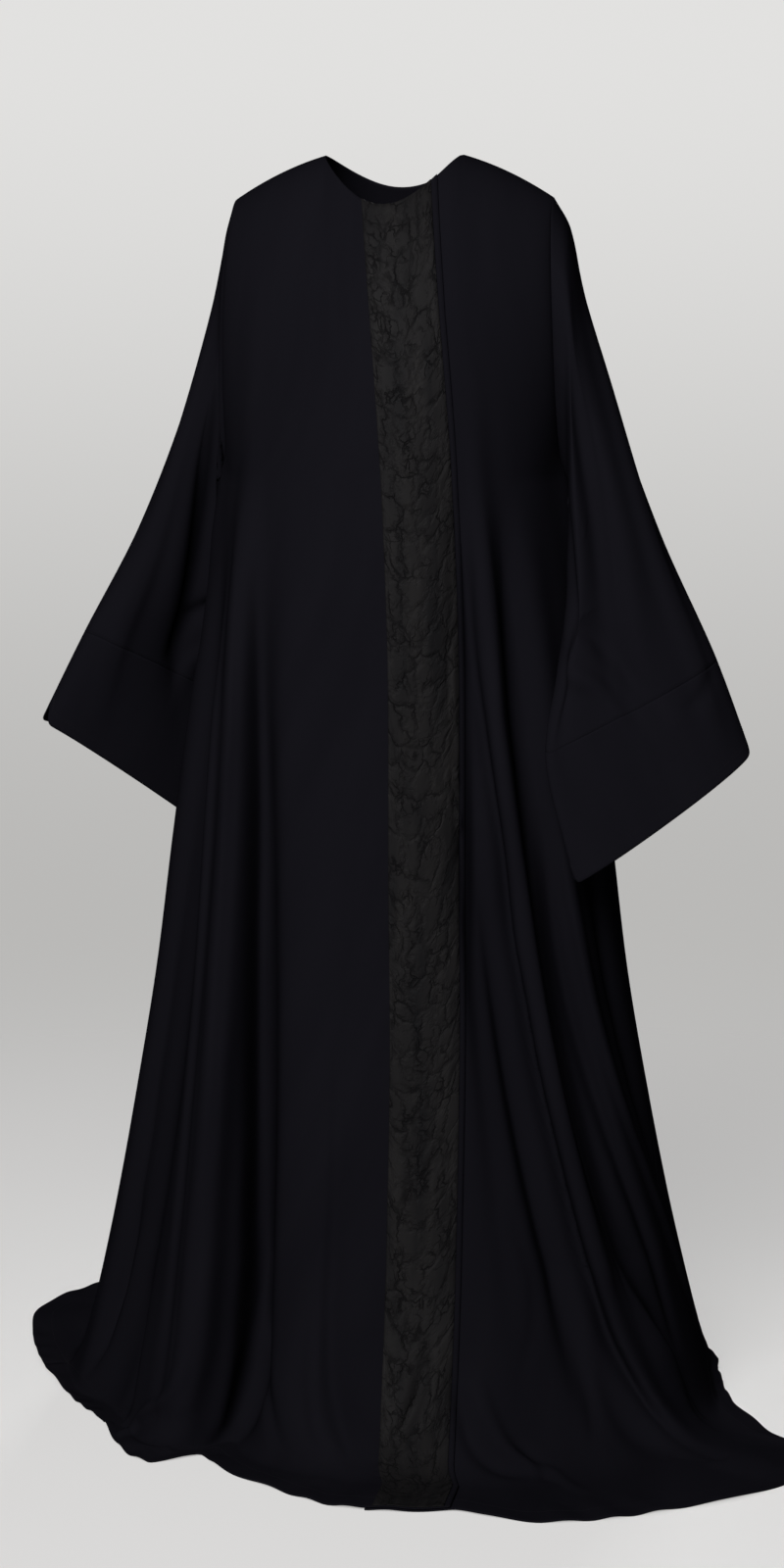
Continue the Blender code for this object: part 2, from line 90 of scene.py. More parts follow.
SECTIONS = (  # height, half width, front reach, back reach
    (0.00, 0.366, 0.318, 0.340),
    (0.08, 0.350, 0.296, 0.318),
    (0.20, 0.322, 0.264, 0.287),
    (0.35, 0.293, 0.234, 0.254),
    (0.50, 0.268, 0.212, 0.227),
    (0.65, 0.250, 0.196, 0.202),
    (0.80, 0.231, 0.184, 0.180),
    (0.95, 0.207, 0.174, 0.162),
    (1.06, 0.190, 0.165, 0.150),
)
WAIST, KNEE = 0.80, 0.40
FOLDS = (  # top, angle at waist, knee, floor, spread each way, rise at waist, knee, floor
    (1.04, -87, -88, -93, 11, 11, 0.006, 0.010, 0.010),
    (1.02, -71, -66, -64, 7, 8, -0.012, -0.018, -0.030),
    (1.20, -55, -47, -37, 8, 6, 0.014, 0.022, 0.028),
    (1.05, -43, -35, -27, 5, 8, -0.012, -0.028, -0.042),
    (1.05, 31, 33, 35, 3, 4, -0.022, -0.006, 0.000),
    (1.03, 34, 41, 52, 3, 3, -0.004, -0.018, -0.020),
    (1.15, 39, 48, 58, 5, 5, 0.018, 0.025, 0.030),
    (1.05, 49, 55, 70, 4, 5, -0.012, -0.014, -0.012),
    (1.05, 58, 64, 84, 6, 7, 0.010, 0.012, 0.004),
    (1.18, 112, 112, 113, 9, 9, 0.008, 0.018, 0.024),
    (1.12, 127, 129, 130, 7, 7, -0.012, -0.022, -0.034),
    (1.22, 144, 145, 147, 9, 8, 0.012, 0.022, 0.030),
    (1.15, 160, 161, 163, 7, 8, -0.012, -0.024, -0.034),
    (1.24, 178, 177, 176, 9, 9, 0.012, 0.024, 0.034),
    (1.14, 196, 194, 192, 8, 7, -0.013, -0.022, -0.034),
    (1.20, 212, 213, 214, 8, 9, 0.012, 0.020, 0.030),
    (1.12, 229, 230, 231, 7, 7, -0.010, -0.022, -0.032),
    (1.10, 247, 247, 246, 9, 8, 0.008, 0.018, 0.024),
)


def fold_sum(angle, height):
    """How far the long folds stand out, in the direction `angle` (degrees from the front)."""
    total = 0.0
    for top, waist, knee, floor, minus, plus, rise_waist, rise_knee, rise_floor in FOLDS:
        centre = smooth((0, KNEE, WAIST), (floor, knee, waist), height)
        rise = smooth((0, KNEE, WAIST, top), (rise_floor, rise_knee, rise_waist, 0), height)
        away = (angle - centre + 180) % 360 - 180
        total = total + rise * np.exp(-((away / np.where(away < 0, minus, plus)) ** 2))
    return total


def fall_radius(angle, height):
    heights, widths, fronts, backs = zip(*SECTIONS)
    sine, cosine = np.sin(np.radians(angle)), np.cos(np.radians(angle))
    reach = np.where(cosine > 0, smooth(heights, fronts, height), smooth(heights, backs, height))
    return 1 / np.hypot(sine / smooth(heights, widths, height), cosine / reach) + fold_sum(angle, height)


HEM = (  # direction from the front, distance of the hem on the floor
    (-90, 0.422),
    (-81, 0.396),
    (-70, 0.379),
    (-57, 0.367),
    (-43, 0.394),
    (-37, 0.408),
    (-33, 0.410),
    (-31, 0.392),
    (-28.5, 0.356),
    (-25, 0.368),
    (-18, 0.394),
    (-11, 0.416),
    (-6, 0.437),
    (2, 0.466),
    (9, 0.474),
    (15, 0.475),
    (19, 0.498),
    (25, 0.532),
    (32, 0.544),
    (40, 0.550),
    (48, 0.561),
    (58, 0.569),
    (63.5, 0.565),
    (67, 0.540),
    (70, 0.484),
    (78, 0.428),
    (86, 0.396),
    (95, 0.384),
    (105, 0.385),
    (117, 0.398),
    (130, 0.440),
    (147, 0.535),
    (162, 0.540),
    (176, 0.590),
    (192, 0.570),
    (206, 0.605),
    (218, 0.605),
    (228, 0.574),
    (236, 0.562),
    (243, 0.545),
    (254, 0.488),
    (263, 0.447),
)


def hem_radius(angle):
    angles, radii = np.array(HEM, float).T
    turned = (np.asarray(angle, float) + 90) % 360 - 90
    return smooth(np.append(angles, angles[0] + 360), np.append(radii, radii[0]), turned)


HEM_RUN, TOUCH_SHARE = 0.012, 0.5  # least run on the floor, and where on it the cloth first touches
SWING_OUT, SWING_IN, FOOT_DROP = 0.72, 0.25, 0.28  # how the cloth curves from its fall to the floor
RIPPLE_RISE, RIPPLE_START, RIPPLE_LENGTH = 0.25, 1.4, 1.6  # the folds' crests run on over the floor


def ring(angle, down):
    """The skirt: down 0 to 1 falls from the underarm, 1 to 2 swings out, 2 to 3 lies on the floor."""
    height = UNDERARM + (FOOT_TOP - UNDERARM) * np.clip(down, 0, 1)
    falling = fall_radius(angle, height)
    start, foot = fall_radius(angle, FOOT_TOP), fall_radius(angle, 0.0)
    hem = np.maximum(hem_radius(angle), foot + HEM_RUN)
    touch = foot + TOUCH_SHARE * (hem - foot)
    t = np.clip(down - 1, 0, 1)
    swing = bezier(start, start + SWING_OUT * (foot - start), foot + SWING_IN * (touch - foot), touch, t)
    low = bezier(FOOT_TOP, FOOT_DROP * FOOT_TOP, HEM_LAYERS, HEM_LAYERS, t)
    window = np.sin(np.pi * np.clip(down - RIPPLE_START, 0, RIPPLE_LENGTH) / RIPPLE_LENGTH) ** 2
    ripple = RIPPLE_RISE * np.maximum(fold_sum(angle, 0.0), 0) * window
    radius = np.where(down <= 1, falling, swing + np.clip(down - 2, 0, 1) * (hem - touch))
    height = np.where(down <= 1, height, low + ripple)
    return stack(radius * np.sin(np.radians(angle)), -radius * np.cos(np.radians(angle)), height)


SLEEVE_LEFT = (  # share of the length, outer line, inner line (x, y, height), swings of front and back
    (0.00, 0.180, 0.000, 1.372, 0.190, 0.000, 1.060, 0.092, 0.092, 0.096, 0.084),
    (0.06, 0.199, -0.002, 1.338, 0.201, -0.020, 1.040, 0.090, 0.092, 0.094, 0.080),
    (0.20, 0.218, -0.008, 1.250, 0.203, -0.069, 0.985, 0.080, 0.080, 0.086, 0.060),
    (0.40, 0.258, -0.027, 1.123, 0.205, -0.108, 0.915, 0.070, 0.066, 0.080, 0.046),
    (0.60, 0.306, -0.048, 0.998, 0.198, -0.138, 0.843, 0.064, 0.054, 0.074, 0.038),
    (0.80, 0.371, -0.080, 0.862, 0.188, -0.165, 0.764, 0.056, 0.040, 0.062, 0.030),
    (1.00, 0.410, -0.098, 0.762, 0.223, -0.180, 0.622, 0.050, 0.030, 0.052, 0.026),
)
SLEEVE_RIGHT = (
    (0.00, -0.180, 0.000, 1.372, -0.190, 0.000, 1.060, 0.092, 0.092, 0.096, 0.084),
    (0.06, -0.191, 0.000, 1.336, -0.201, 0.014, 1.040, 0.090, 0.086, 0.094, 0.082),
    (0.20, -0.209, 0.002, 1.250, -0.206, 0.050, 0.985, 0.080, 0.070, 0.084, 0.074),
    (0.40, -0.248, 0.004, 1.125, -0.213, 0.076, 0.920, 0.074, 0.044, 0.076, 0.062),
    (0.60, -0.298, 0.004, 1.000, -0.227, 0.090, 0.860, 0.068, 0.030, 0.070, 0.056),
    (0.80, -0.363, 0.002, 0.877, -0.238, 0.112, 0.800, 0.060, 0.022, 0.062, 0.046),
    (1.00, -0.416, 0.000, 0.772, -0.248, 0.128, 0.633, 0.052, 0.020, 0.052, 0.034),
)


def at_front(angle):
    return np.cos(np.radians(angle)) > 1e-9


def yoke(angle, t):
    """The cloth over the shoulders and chest, from the shoulder seam down to the underarm."""
    front = at_front(angle)
    facing = np.where(front, -1.0, 1.0)
    to_side = np.abs(np.where(front, (angle + 180) % 360 - 180, angle % 360 - 180)) / 90
    first = SLEEVE_LEFT[0]
    swing = np.where(front, CHEST_SWING, BACK_SWING)
    swing = swing + (np.where(front, first[7], first[9]) - swing) * to_side**2
    at_side = to_side**3
    ridge_x = SHOULDER_TIP_X * np.sin(np.radians(angle))
    curve = SHOULDER_DROP / (SHOULDER_TIP_X**2 - NECK_HALF_WIDTH**2)
    top = stack(ridge_x, 0.0, SHOULDER_HEIGHT - curve * (ridge_x**2 - NECK_HALF_WIDTH**2))
    underarm, below = ring(angle, 0.0), ring(angle, SMALL)
    rising = unit(underarm - below) * (CHEST_FALL * (1 - at_side))[..., None]
    under_swing = np.where(front, first[8], first[10])
    arrive = rising + stack(0.0, facing * under_swing, UNDERARM_RISE) * at_side[..., None]
    return bezier(top, top + stack(0.0, facing * swing, 0.0), underarm + arrive, underarm, t[..., None])


DEEPEST_NECK, HALVINGS = 0.7, 24


def neck_edge_shares(angle):
    """Where on its column the neck edge is: 0 for a column that starts on the shoulder seam."""
    low, high = np.zeros_like(angle), np.full_like(angle, DEEPEST_NECK)
    for _ in range(HALVINGS):
        middle = (low + high) / 2
        x, y, _ = np.moveaxis(yoke(angle, middle), -1, 0)
        reach = np.where(y < 0, NECK_FRONT_REACH, NECK_BACK_REACH)
        covered = np.hypot(x / NECK_HALF_WIDTH, y / reach) < 1
        low, high = np.where(covered, middle, low), np.where(covered, high, middle)
    ridge_x = SHOULDER_TIP_X * np.sin(np.radians(angle))
    return np.where(np.abs(ridge_x) < NECK_HALF_WIDTH - 1e-9, high, 0.0)


NECK_CORNER = np.degrees(np.arcsin(NECK_HALF_WIDTH / SHOULDER_TIP_X))  # of the column that starts there
NECK_SPREAD = NECK_CORNER * np.sin(np.radians(np.linspace(-90, 90, 61)))
NECK_TURNS = np.concatenate([NECK_SPREAD, NECK_SPREAD + 180])
NECK_EDGE = NECK_TURNS, neck_edge_shares(NECK_TURNS)


def neck_share(angle):
    return np.interp((angle + 90) % 360 - 90, *NECK_EDGE)


def surface(angle, v):
    return np.where((v < 0)[..., None], yoke(angle, np.minimum(v, 0) + 1), ring(angle, np.maximum(v, 0)))


def body_place(angle, down, start):
    given = (np.asarray(value, float) for value in (angle, down, start))
    angle, down, start = np.broadcast_arrays(*given)
    return angle, np.where(down < 0, down * (1 - start), down)


def body(angle, down, start=0.0):
    """A point of the body's cloth; start is the share of its column that the neck opening takes."""
    return surface(*body_place(angle, down, start))


SMALL_TURN = 0.05  # degrees


def body_normal(angle, down, start=0.0):
    """The direction in which the body's cloth faces. At a side seam it is taken from one side only."""
    angle, v = body_place(angle, down, start)
    side = np.sign(np.sin(np.radians(angle)))
    at_edge = np.abs(np.abs((angle + 180) % 360 - 180) - 90) < 1e-5
    inward = np.where(at_edge, np.where(at_front(angle), -side, side), 0.0)
    before = angle - np.where(inward > 0, 0, SMALL_TURN)
    after = angle + np.where(inward < 0, 0, SMALL_TURN)
    across = surface(after, v) - surface(before, v)
    along = surface(angle, np.minimum(v + SMALL, 3)) - surface(angle, np.maximum(v - SMALL, -1))
    return unit(np.cross(along, across))


FRONT_TURNS = np.linspace(-50, 60, 441)[None, :]  # degrees


def angle_at(x, down):
    """The direction in which the body's front has this x: where a fold hides part of it, the near side."""
    across = body(FRONT_TURNS, down, neck_share(FRONT_TURNS))[..., 0]
    across = np.maximum.accumulate(across, axis=1) + 1e-6 * FRONT_TURNS
    return np.array([np.interp(wanted, row, FRONT_TURNS[0]) for wanted, row in zip(x, across)])


EDGE_LINE = (  # height, x of the free edge
    (0.00, 0.122),
    (0.05, 0.112),
    (0.15, 0.108),
    (0.41, 0.106),
    (0.62, 0.101),
    (0.84, 0.098),
    (1.06, 0.088),
    (1.42, 0.056),
)


def edge_x(down):
    """The x of the right front's free edge at each place down the body."""
    heights, places = zip(*EDGE_LINE)
    upper = UNDERARM - (SHOULDER_HEIGHT - UNDERARM) * np.minimum(down, 0)
    fall = upper + (FOOT_TOP - UNDERARM) * np.clip(down, 0, 1)
    return smooth(heights, places, fall * (1 - np.clip(down - 1, 0, 1)))


SLEEVE_FOLDS = (  # turn at armhole and cuff, share where it starts and ends, spread, rise
    (0.30, 0.46, 0.00, 0.80, 0.10, 0.008),
    (0.48, 0.66, 0.05, 0.95, 0.09, -0.009),
    (0.66, 0.84, 0.00, 0.90, 0.10, 0.009),
    (1.30, 1.20, 0.05, 0.90, 0.10, 0.009),
    (1.50, 1.38, 0.00, 0.95, 0.10, -0.008),
    (1.72, 1.58, 0.05, 0.85, 0.10, 0.008),
)
SLEEVE_FOLD_FADE = 0.25
ARMHOLE_FACING = 0.2  # how far a sleeve's front faces ahead where it leaves the armhole


def sleeve(table, turn, share):
    """A point of a sleeve. turn 0 to 1 goes from the outer to the inner line round the front, 1 to 2
    back round the back of the arm."""
    turn, share = np.broadcast_arrays(np.asarray(turn, float), np.asarray(share, float))
    columns = np.array(table, float).T
    value = [smooth(columns[0], column, share) for column in columns[1:]]
    outer, inner = stack(*value[0:3]), stack(*value[3:6])
    last = np.array(table[-1][1:7], float)
    across = last[3:5] - last[0:2]
    facing = np.array([-across[1], across[0]]) * np.sign(-across[0])
    ahead = facing[1] * share - (1 - share) * ARMHOLE_FACING
    facing = unit(np.stack([facing[0] * share, ahead], axis=-1))
    forward = stack(facing[..., 0], facing[..., 1], 0.0)
    front = (turn <= 1)[..., None]
    t = np.where(turn <= 1, turn, 2 - turn)[..., None]
    from_outer = np.where(front, value[6][..., None] * forward, -value[8][..., None] * forward)
    from_inner = np.where(front, value[7][..., None] * forward, -value[9][..., None] * forward)
    from_inner = from_inner + stack(0.0, 0.0, UNDERARM_RISE * (1 - share) ** 3)
    point = bezier(outer, outer + from_outer, inner + from_inner, inner, t)
    centre = (outer + inner) / 2
    lift = 0.0
    for start_turn, end_turn, start, end, spread, rise in SLEEVE_FOLDS:
        middle = start_turn + (end_turn - start_turn) * ease(share)
        fading = ease((share - start) / SLEEVE_FOLD_FADE) * ease((end - share) / SLEEVE_FOLD_FADE)
        lift = lift + rise * fading * np.exp(-(((turn - middle) / spread) ** 2))
    return point + unit(point - centre) * np.asarray(lift)[..., None]


def sleeve_normal(table, turn, share):
    turn, share = np.broadcast_arrays(np.asarray(turn, float), np.asarray(share, float))
    low, high = np.maximum(share - SMALL, 0), np.minimum(share + SMALL, 1)
    along = sleeve(table, turn, high) - sleeve(table, turn, low)
    around = sleeve(table, (turn + SMALL) % 2, share) - sleeve(table, (turn - SMALL) % 2, share)
    return unit(np.cross(around, along) * np.sign(table[0][1]))


def armhole_mitre(table, turn):
    """The direction shared by the sewn edges of body and sleeve, so that they meet all round."""
    side = np.sign(table[0][1])
    front = turn <= 1
    angle = np.where(front, side * SIDE, 180 - side * SIDE)
    down = np.where(front, turn, 2 - turn) - 1
    return unit(body_normal(angle, down) + sleeve_normal(table, turn, np.zeros_like(turn)))


FOOT_SHARES = np.linspace(0, 1, 200)
FOOT_HEIGHTS = bezier(FOOT_TOP, FOOT_DROP * FOOT_TOP, HEM_LAYERS, HEM_LAYERS, FOOT_SHARES)


def down_at(height):
    """A height as a place down the skirt; a negative one is how far out over the floor, 0 to -1."""
    height = np.asarray(height, float)
    foot = 1 + np.interp(-height, -FOOT_HEIGHTS, FOOT_SHARES)
    fall = (UNDERARM - height) / (UNDERARM - FOOT_TOP)
    fall = np.where(height > UNDERARM, (UNDERARM - height) / (SHOULDER_HEIGHT - UNDERARM), fall)
    return np.where(height > FOOT_TOP, fall, np.where(height >= 0, foot, 2 - height))


CREASE_STEPS, CREASE_REACH = 6, 3.2  # steps a station, and how many widths away a crease still counts
CREASE_BLUNT = 0.003  # how round a crease's crest is
HOLLOW_POWER, RIDGE_POWER = 1.5, 2  # hollows are sharper than ridges


def crease_lift(points, normals, creases, place):
    """How far soft creases push the cloth in or out. A crease has a width on either side of its line and
    stations down it, each a place and a rise; widths and rises are in millimetres."""
    shape = points.shape[:-1]
    points, normals = points.reshape(-1, 3), normals.reshape(-1, 3)
    lift = np.zeros(len(points))
    for before, after, stations in creases:
        run = np.linspace(0, len(stations) - 1, CREASE_STEPS * len(stations))
        table = np.array(stations, float).T
        at = [smooth(np.arange(len(stations)), row, run) for row in table]
        line, rise = place(at[0], at[1]), at[2] / 1000
        reach = CREASE_REACH * max(before, after) / 1000
        above, below = (points > line.min(0) - reach).all(-1), (points < line.max(0) + reach).all(-1)
        near = np.flatnonzero(above & below)
        if not len(near):
            continue
        spot, best = points[near], np.full(len(near), 1e9)
        value, side = np.zeros(len(near)), np.zeros(len(near))
        for k in range(len(line) - 1):
            way = line[k + 1] - line[k]
            t = np.clip((spot - line[k]) @ way / max(way @ way, 1e-12), 0, 1)
            away = spot - line[k] - t[:, None] * way
            far = np.linalg.norm(away, axis=1)
            closer = far < best
            best = np.where(closer, far, best)
            value = np.where(closer, rise[k] + t * (rise[k + 1] - rise[k]), value)
            turn = (np.cross(way, away) * normals[near]).sum(-1)
            side = np.where(closer, turn, side)
        width = np.where(side > 0, after, before) / 1000
        blunt = np.hypot(best, CREASE_BLUNT) - CREASE_BLUNT
        power = np.where(value < 0, HOLLOW_POWER, RIDGE_POWER)
        lift[near] += value * np.exp(-((blunt / width) ** power))
    return lift.reshape(shape)


def body_spot(height, angle):
    return body(angle, down_at(height))


# Creases of the body: width on the side of smaller and of larger angles, then (height, angle, rise)
# down the line. Widths and rises are in millimetres, and a height below 0 is out over the floor.
# Wearer's right: a rolled fold from the bust, crisp on its outer side, between two deep valleys.
RIGHT_FRONT_CREASES = (
    (15, 15, (
        (1.06, -54, 0), (0.95, -51.6, 7), (0.828, -49.4, 12), (0.69, -46.9, 15), (0.504, -44, 18),
        (0.394, -41.9, 20), (0.290, -39.8, 21), (0.182, -37.3, 21), (0.101, -35.7, 18),
        (0.05, -35.2, 13), (0.008, -34, 4), (-0.4, -34, 0),
    )),
    (4, 7, (
        (0.98, -55, 0), (0.828, -51.6, 4), (0.614, -48.2, 6), (0.504, -46.4, 7), (0.394, -44.2, 7),
        (0.290, -42.2, 7), (0.182, -40, 7), (0.101, -38.2, 5), (0.05, -37, 0),
    )),
    (14, 7, (
        (1.02, -60, 0), (0.90, -56.8, -7), (0.77, -54, -10), (0.62, -51.4, -12),
        (0.48, -49.6, -12), (0.35, -47.4, -12), (0.22, -44.8, -11), (0.12, -42.6, -8),
        (0.05, -41, -4), (0.01, -39, 0),
    )),
    (12, 36, (
        (0.98, -72, 0), (0.86, -73, -4), (0.72, -74, -8), (0.60, -75, -11), (0.50, -76, -13),
        (0.374, -76, -15), (0.285, -75.5, -17), (0.190, -75.5, -18), (0.119, -76, -15),
        (0.06, -76.5, -8), (0.015, -77, 0),
    )),
    (8, 12, (
        (0.24, -74, 0), (0.17, -74.4, -8), (0.119, -74.6, -16), (0.075, -75, -14),
        (0.035, -75.5, -6), (0.01, -76, 0),
    )),
    (7, 17, (
        (0.96, -46.5, 0), (0.828, -44.6, -14), (0.699, -42.4, -24), (0.559, -40.3, -32),
        (0.449, -38.1, -38), (0.340, -35.5, -43), (0.235, -33.1, -45), (0.147, -30.4, -42),
        (0.076, -28.8, -34), (0.028, -28.4, -17), (0.006, -29, -6), (-0.2, -30, 0),
    )),
    (10, 13, (
        (0.34, -33.4, 0), (0.235, -31.4, -8), (0.147, -28.8, -14), (0.09, -27.4, -15),
        (0.045, -27.4, -11), (0.015, -28.6, -4), (0.002, -30, 0),
    )),
    (6, 7, (
        (0.10, -37, 0), (0.054, -38.4, 6), (0.031, -43.2, 7), (0.007, -46, 6), (-0.5, -46.6, 4),
        (-0.95, -47, 0),
    )),
    (18, 14, ((0.16, -62, 0), (0.09, -59, -8), (0.03, -56, -9), (0.006, -54, -5), (-0.3, -53, 0))),
    # The right front's own soft breaks over its foot.
    (4, 9, (
        (0.26, -31.2, 0), (0.158, -30, -4), (0.098, -26, -6), (0.054, -20.8, -6),
        (0.015, -13.8, -4), (0.004, -11, 0),
    )),
    (6, 14, (
        (0.52, -9, 0), (0.38, -8, -4), (0.26, -7.4, -6), (0.176, -7.2, -8), (0.094, -5.8, -8),
        (0.048, -3.2, -8), (0.020, -0.2, -4), (0.006, 1, 0),
    )),
    (8, 9, ((0.16, -10.6, 0), (0.094, -9.6, 4), (0.04, -7, 5), (0.012, -4, 2), (-0.3, -3, 0))),
    (30, 34, (
        (0.78, -28, 0), (0.55, -25, -5), (0.35, -22, -8), (0.18, -19, -8), (0.08, -17, -5),
        (0.02, -15, 0),
    )),
    (5, 8, ((0.13, 15.2, 0), (0.094, 13.8, -4), (0.056, 11.2, -5), (0.02, 6.6, -3), (0.005, 5, 0))),
    (12, 12, ((0.15, 17.5, 0), (0.07, 15, 3), (0.03, 11.5, 3), (0.006, 9, 0))),
)
# Wearer's left: the long roll that swings out over a deep hollow beside the band, and two crisp ridges.
LEFT_FRONT_CREASES = (
    (38, 6, (
        (1.08, 33, 0), (0.96, 34.4, -4), (0.85, 35.2, -8), (0.76, 36.6, -14), (0.65, 38.9, -22),
        (0.569, 40.2, -27), (0.489, 42.2, -26), (0.404, 44.2, -24), (0.330, 46.2, -21),
        (0.245, 48.5, -18), (0.167, 50.8, -15), (0.103, 53.4, -11), (0.051, 55.8, -7),
        (0.015, 56.8, -3), (-0.2, 55, 0),
    )),
    (7, 3.5, (
        (0.98, 34.2, 0), (0.90, 34.6, -5), (0.80, 35.8, -10), (0.65, 38.9, -16),
        (0.569, 40.2, -18), (0.489, 42.2, -18), (0.404, 44.2, -19), (0.330, 46.2, -20),
        (0.245, 48.5, -20), (0.167, 50.8, -19), (0.103, 53.4, -16), (0.051, 55.8, -10),
        (0.015, 56.8, -3), (-0.1, 55.5, 0),
    )),
    (34, 8, (
        (1.04, 38, 0), (0.90, 42, 6), (0.80, 45, 10), (0.684, 48, 13), (0.60, 50, 15),
        (0.504, 52, 16), (0.394, 54.6, 17), (0.285, 58.2, 20), (0.173, 63, 23), (0.10, 67, 22),
        (0.056, 69.4, 16), (0.02, 70.4, 7), (0.002, 70, 0),
    )),
    (7, 3.5, (
        (0.70, 51.4, 0), (0.614, 52.6, 4), (0.549, 53.2, 6), (0.484, 54.4, 7), (0.409, 56.4, 7),
        (0.340, 58.7, 6), (0.285, 60.6, 5), (0.225, 63.6, 3), (0.16, 67, 0),
    )),
    (5, 10, (
        (0.70, 54.5, 0), (0.614, 55.4, -8), (0.549, 56.2, -11), (0.484, 57.6, -12),
        (0.404, 60.2, -13), (0.340, 63, -13), (0.285, 66, -12), (0.225, 69.5, -10),
        (0.153, 73, -7), (0.07, 75, 0),
    )),
    (6, 8, (
        (0.74, 58, 0), (0.614, 60, 6), (0.549, 61.6, 8), (0.484, 63.4, 8), (0.42, 66.2, 8),
        (0.36, 69.8, 7), (0.30, 74.6, 6), (0.24, 79.6, 6), (0.17, 86, 5), (0.10, 91, 3),
        (0.03, 97, 0),
    )),
    (14, 16, (
        (0.80, 70, 0), (0.66, 72, -7), (0.52, 75, -10), (0.40, 80, -10), (0.28, 87, -8),
        (0.16, 95, -5), (0.06, 100, 0),
    )),
    (5, 8, (
        (0.28, 36.8, 0), (0.235, 37.8, -1.6), (0.182, 39.8, -2.4), (0.142, 38.8, -2),
        (0.107, 36, -1), (0.08, 33, 0),
    )),
    (5, 7, (
        (0.16, 46.6, 0), (0.114, 47.5, -1.6), (0.064, 47.2, -2.6), (0.030, 44.5, -1.6),
        (0.012, 41, 0),
    )),
    (8, 10, (
        (0.12, 19, 0), (0.059, 21, -7), (0.034, 21.8, -9), (0.018, 23.5, -8), (0.009, 26.2, -5),
        (0.006, 30, 0),
    )),
    (8, 7, ((0.10, 24.5, 0), (0.05, 26, 5), (0.02, 28, 7), (0.01, 31, 6), (0.004, 33, 3), (-0.3, 34, 0))),
    (5, 6, ((0.035, 29.5, 0), (0.016, 31.2, -4), (0.004, 31.6, -4), (-0.3, 30.5, -2), (-0.6, 29, 0))),
)
# Under the arms the sides stand a little fuller.
SIDE_CREASES = (
    (30, 30, (
        (1.17, -90, 0), (1.10, -90, 7), (1.05, -91, 12), (1.00, -91, 11), (0.94, -91, 5),
        (0.87, -91, 0),
    )),
    (30, 30, ((1.17, 90, 0), (1.10, 90, 7), (1.05, 91, 12), (1.00, 91, 11), (0.94, 91, 5), (0.87, 91, 0))),
)
# The back: two deep folds from the shoulder blades, shallower ones between and beside them.
BACK_CREASES = (
    (12, 18, (
        (1.02, 128, 0), (0.85, 127, -8), (0.65, 125, -17), (0.45, 123, -23), (0.28, 121, -25),
        (0.14, 119, -19), (0.05, 117.5, -9), (0.008, 117, 0),
    )),
    (15, 11, (
        (0.95, 134, 0), (0.75, 132.5, 8), (0.50, 130.5, 13), (0.30, 128.5, 15), (0.14, 126.5, 12),
        (0.04, 125, 5), (-0.3, 125, 0),
    )),
    (18, 10, (
        (1.12, 205, 0), (0.95, 206, -9), (0.75, 208, -18), (0.55, 210, -26), (0.35, 212.5, -30),
        (0.20, 215, -28), (0.10, 217, -19), (0.03, 219, -7), (0.005, 220, 0),
    )),
    (11, 17, (
        (1.02, 198, 0), (0.85, 199, 6), (0.60, 202, 12), (0.40, 204.5, 16), (0.22, 207, 17),
        (0.10, 209.5, 12), (0.03, 211.5, 5), (-0.3, 213, 0),
    )),
    (12, 14, (
        (0.88, 166, 0), (0.70, 165, -5), (0.50, 163.5, -10), (0.30, 162, -13), (0.15, 160, -12),
        (0.05, 158, -6), (0.01, 157, 0),
    )),
    (22, 18, (
        (0.92, 176, 0), (0.70, 177, 6), (0.45, 179, 11), (0.25, 181, 13), (0.10, 182, 9),
        (0.03, 183, 3), (-0.4, 183, 0),
    )),
    (10, 14, (
        (0.80, 188, 0), (0.60, 189.5, -7), (0.42, 191, -11), (0.25, 193.5, -13), (0.12, 196, -10),
        (0.04, 198, -4), (0.01, 200, 0),
    )),
    (14, 10, (
        (0.92, 240, 0), (0.75, 239, -7), (0.55, 238, -14), (0.38, 236.5, -18), (0.22, 235, -18),
        (0.10, 233, -13), (0.03, 231, -4), (0.006, 230, 0),
    )),
    (11, 15, (
        (0.90, 247, 0), (0.65, 245.5, 8), (0.42, 244, 13), (0.22, 242, 14), (0.09, 240, 9),
        (0.02, 239, 3), (-0.2, 238, 0),
    )),
    (10, 15, (
        (0.75, 103, 0), (0.55, 104, -6), (0.35, 106, -11), (0.20, 107.5, -11), (0.08, 109, -6),
        (0.02, 110, 0),
    )),
    (14, 12, ((1.32, 150, 0), (1.24, 148, 3), (1.12, 144.5, 5), (1.00, 141, 4), (0.90, 139, 0))),
    (12, 15, ((1.30, 216, 0), (1.22, 219, -3), (1.10, 223, -5), (0.98, 227, -3), (0.88, 229, 0))),
    (10, 10, (
        (0.15, 172, 0), (0.08, 173, -5), (0.04, 175.5, -7), (0.015, 178.5, -5), (0.004, 182, -2),
        (-0.2, 183, 0),
    )),
    (10, 11, ((0.17, 146, 0), (0.09, 147.5, -6), (0.045, 150, -8), (0.015, 153.5, -5), (0.003, 157, 0))),
    (10, 9, ((0.21, 224, 0), (0.12, 225.5, -6), (0.06, 225, -8), (0.02, 222.5, -5), (0.005, 219, 0))),
    (14, 16, ((0.01, 190, 0), (-0.3, 189, 3), (-0.7, 188, 4), (-0.98, 187.5, 3))),
    (16, 14, ((0.01, 139, 0), (-0.35, 138, 4), (-0.75, 137, 4), (-0.98, 136.5, 2))),
)
BODY_CREASES = RIGHT_FRONT_CREASES + LEFT_FRONT_CREASES + SIDE_CREASES + BACK_CREASES


DROP = np.array([0, 0, SHOULDER_HEIGHT])  # from heights above the floor to the origin at the neck
EDGE_ROUND = 0.45  # how far a cut edge rounds out, in layers


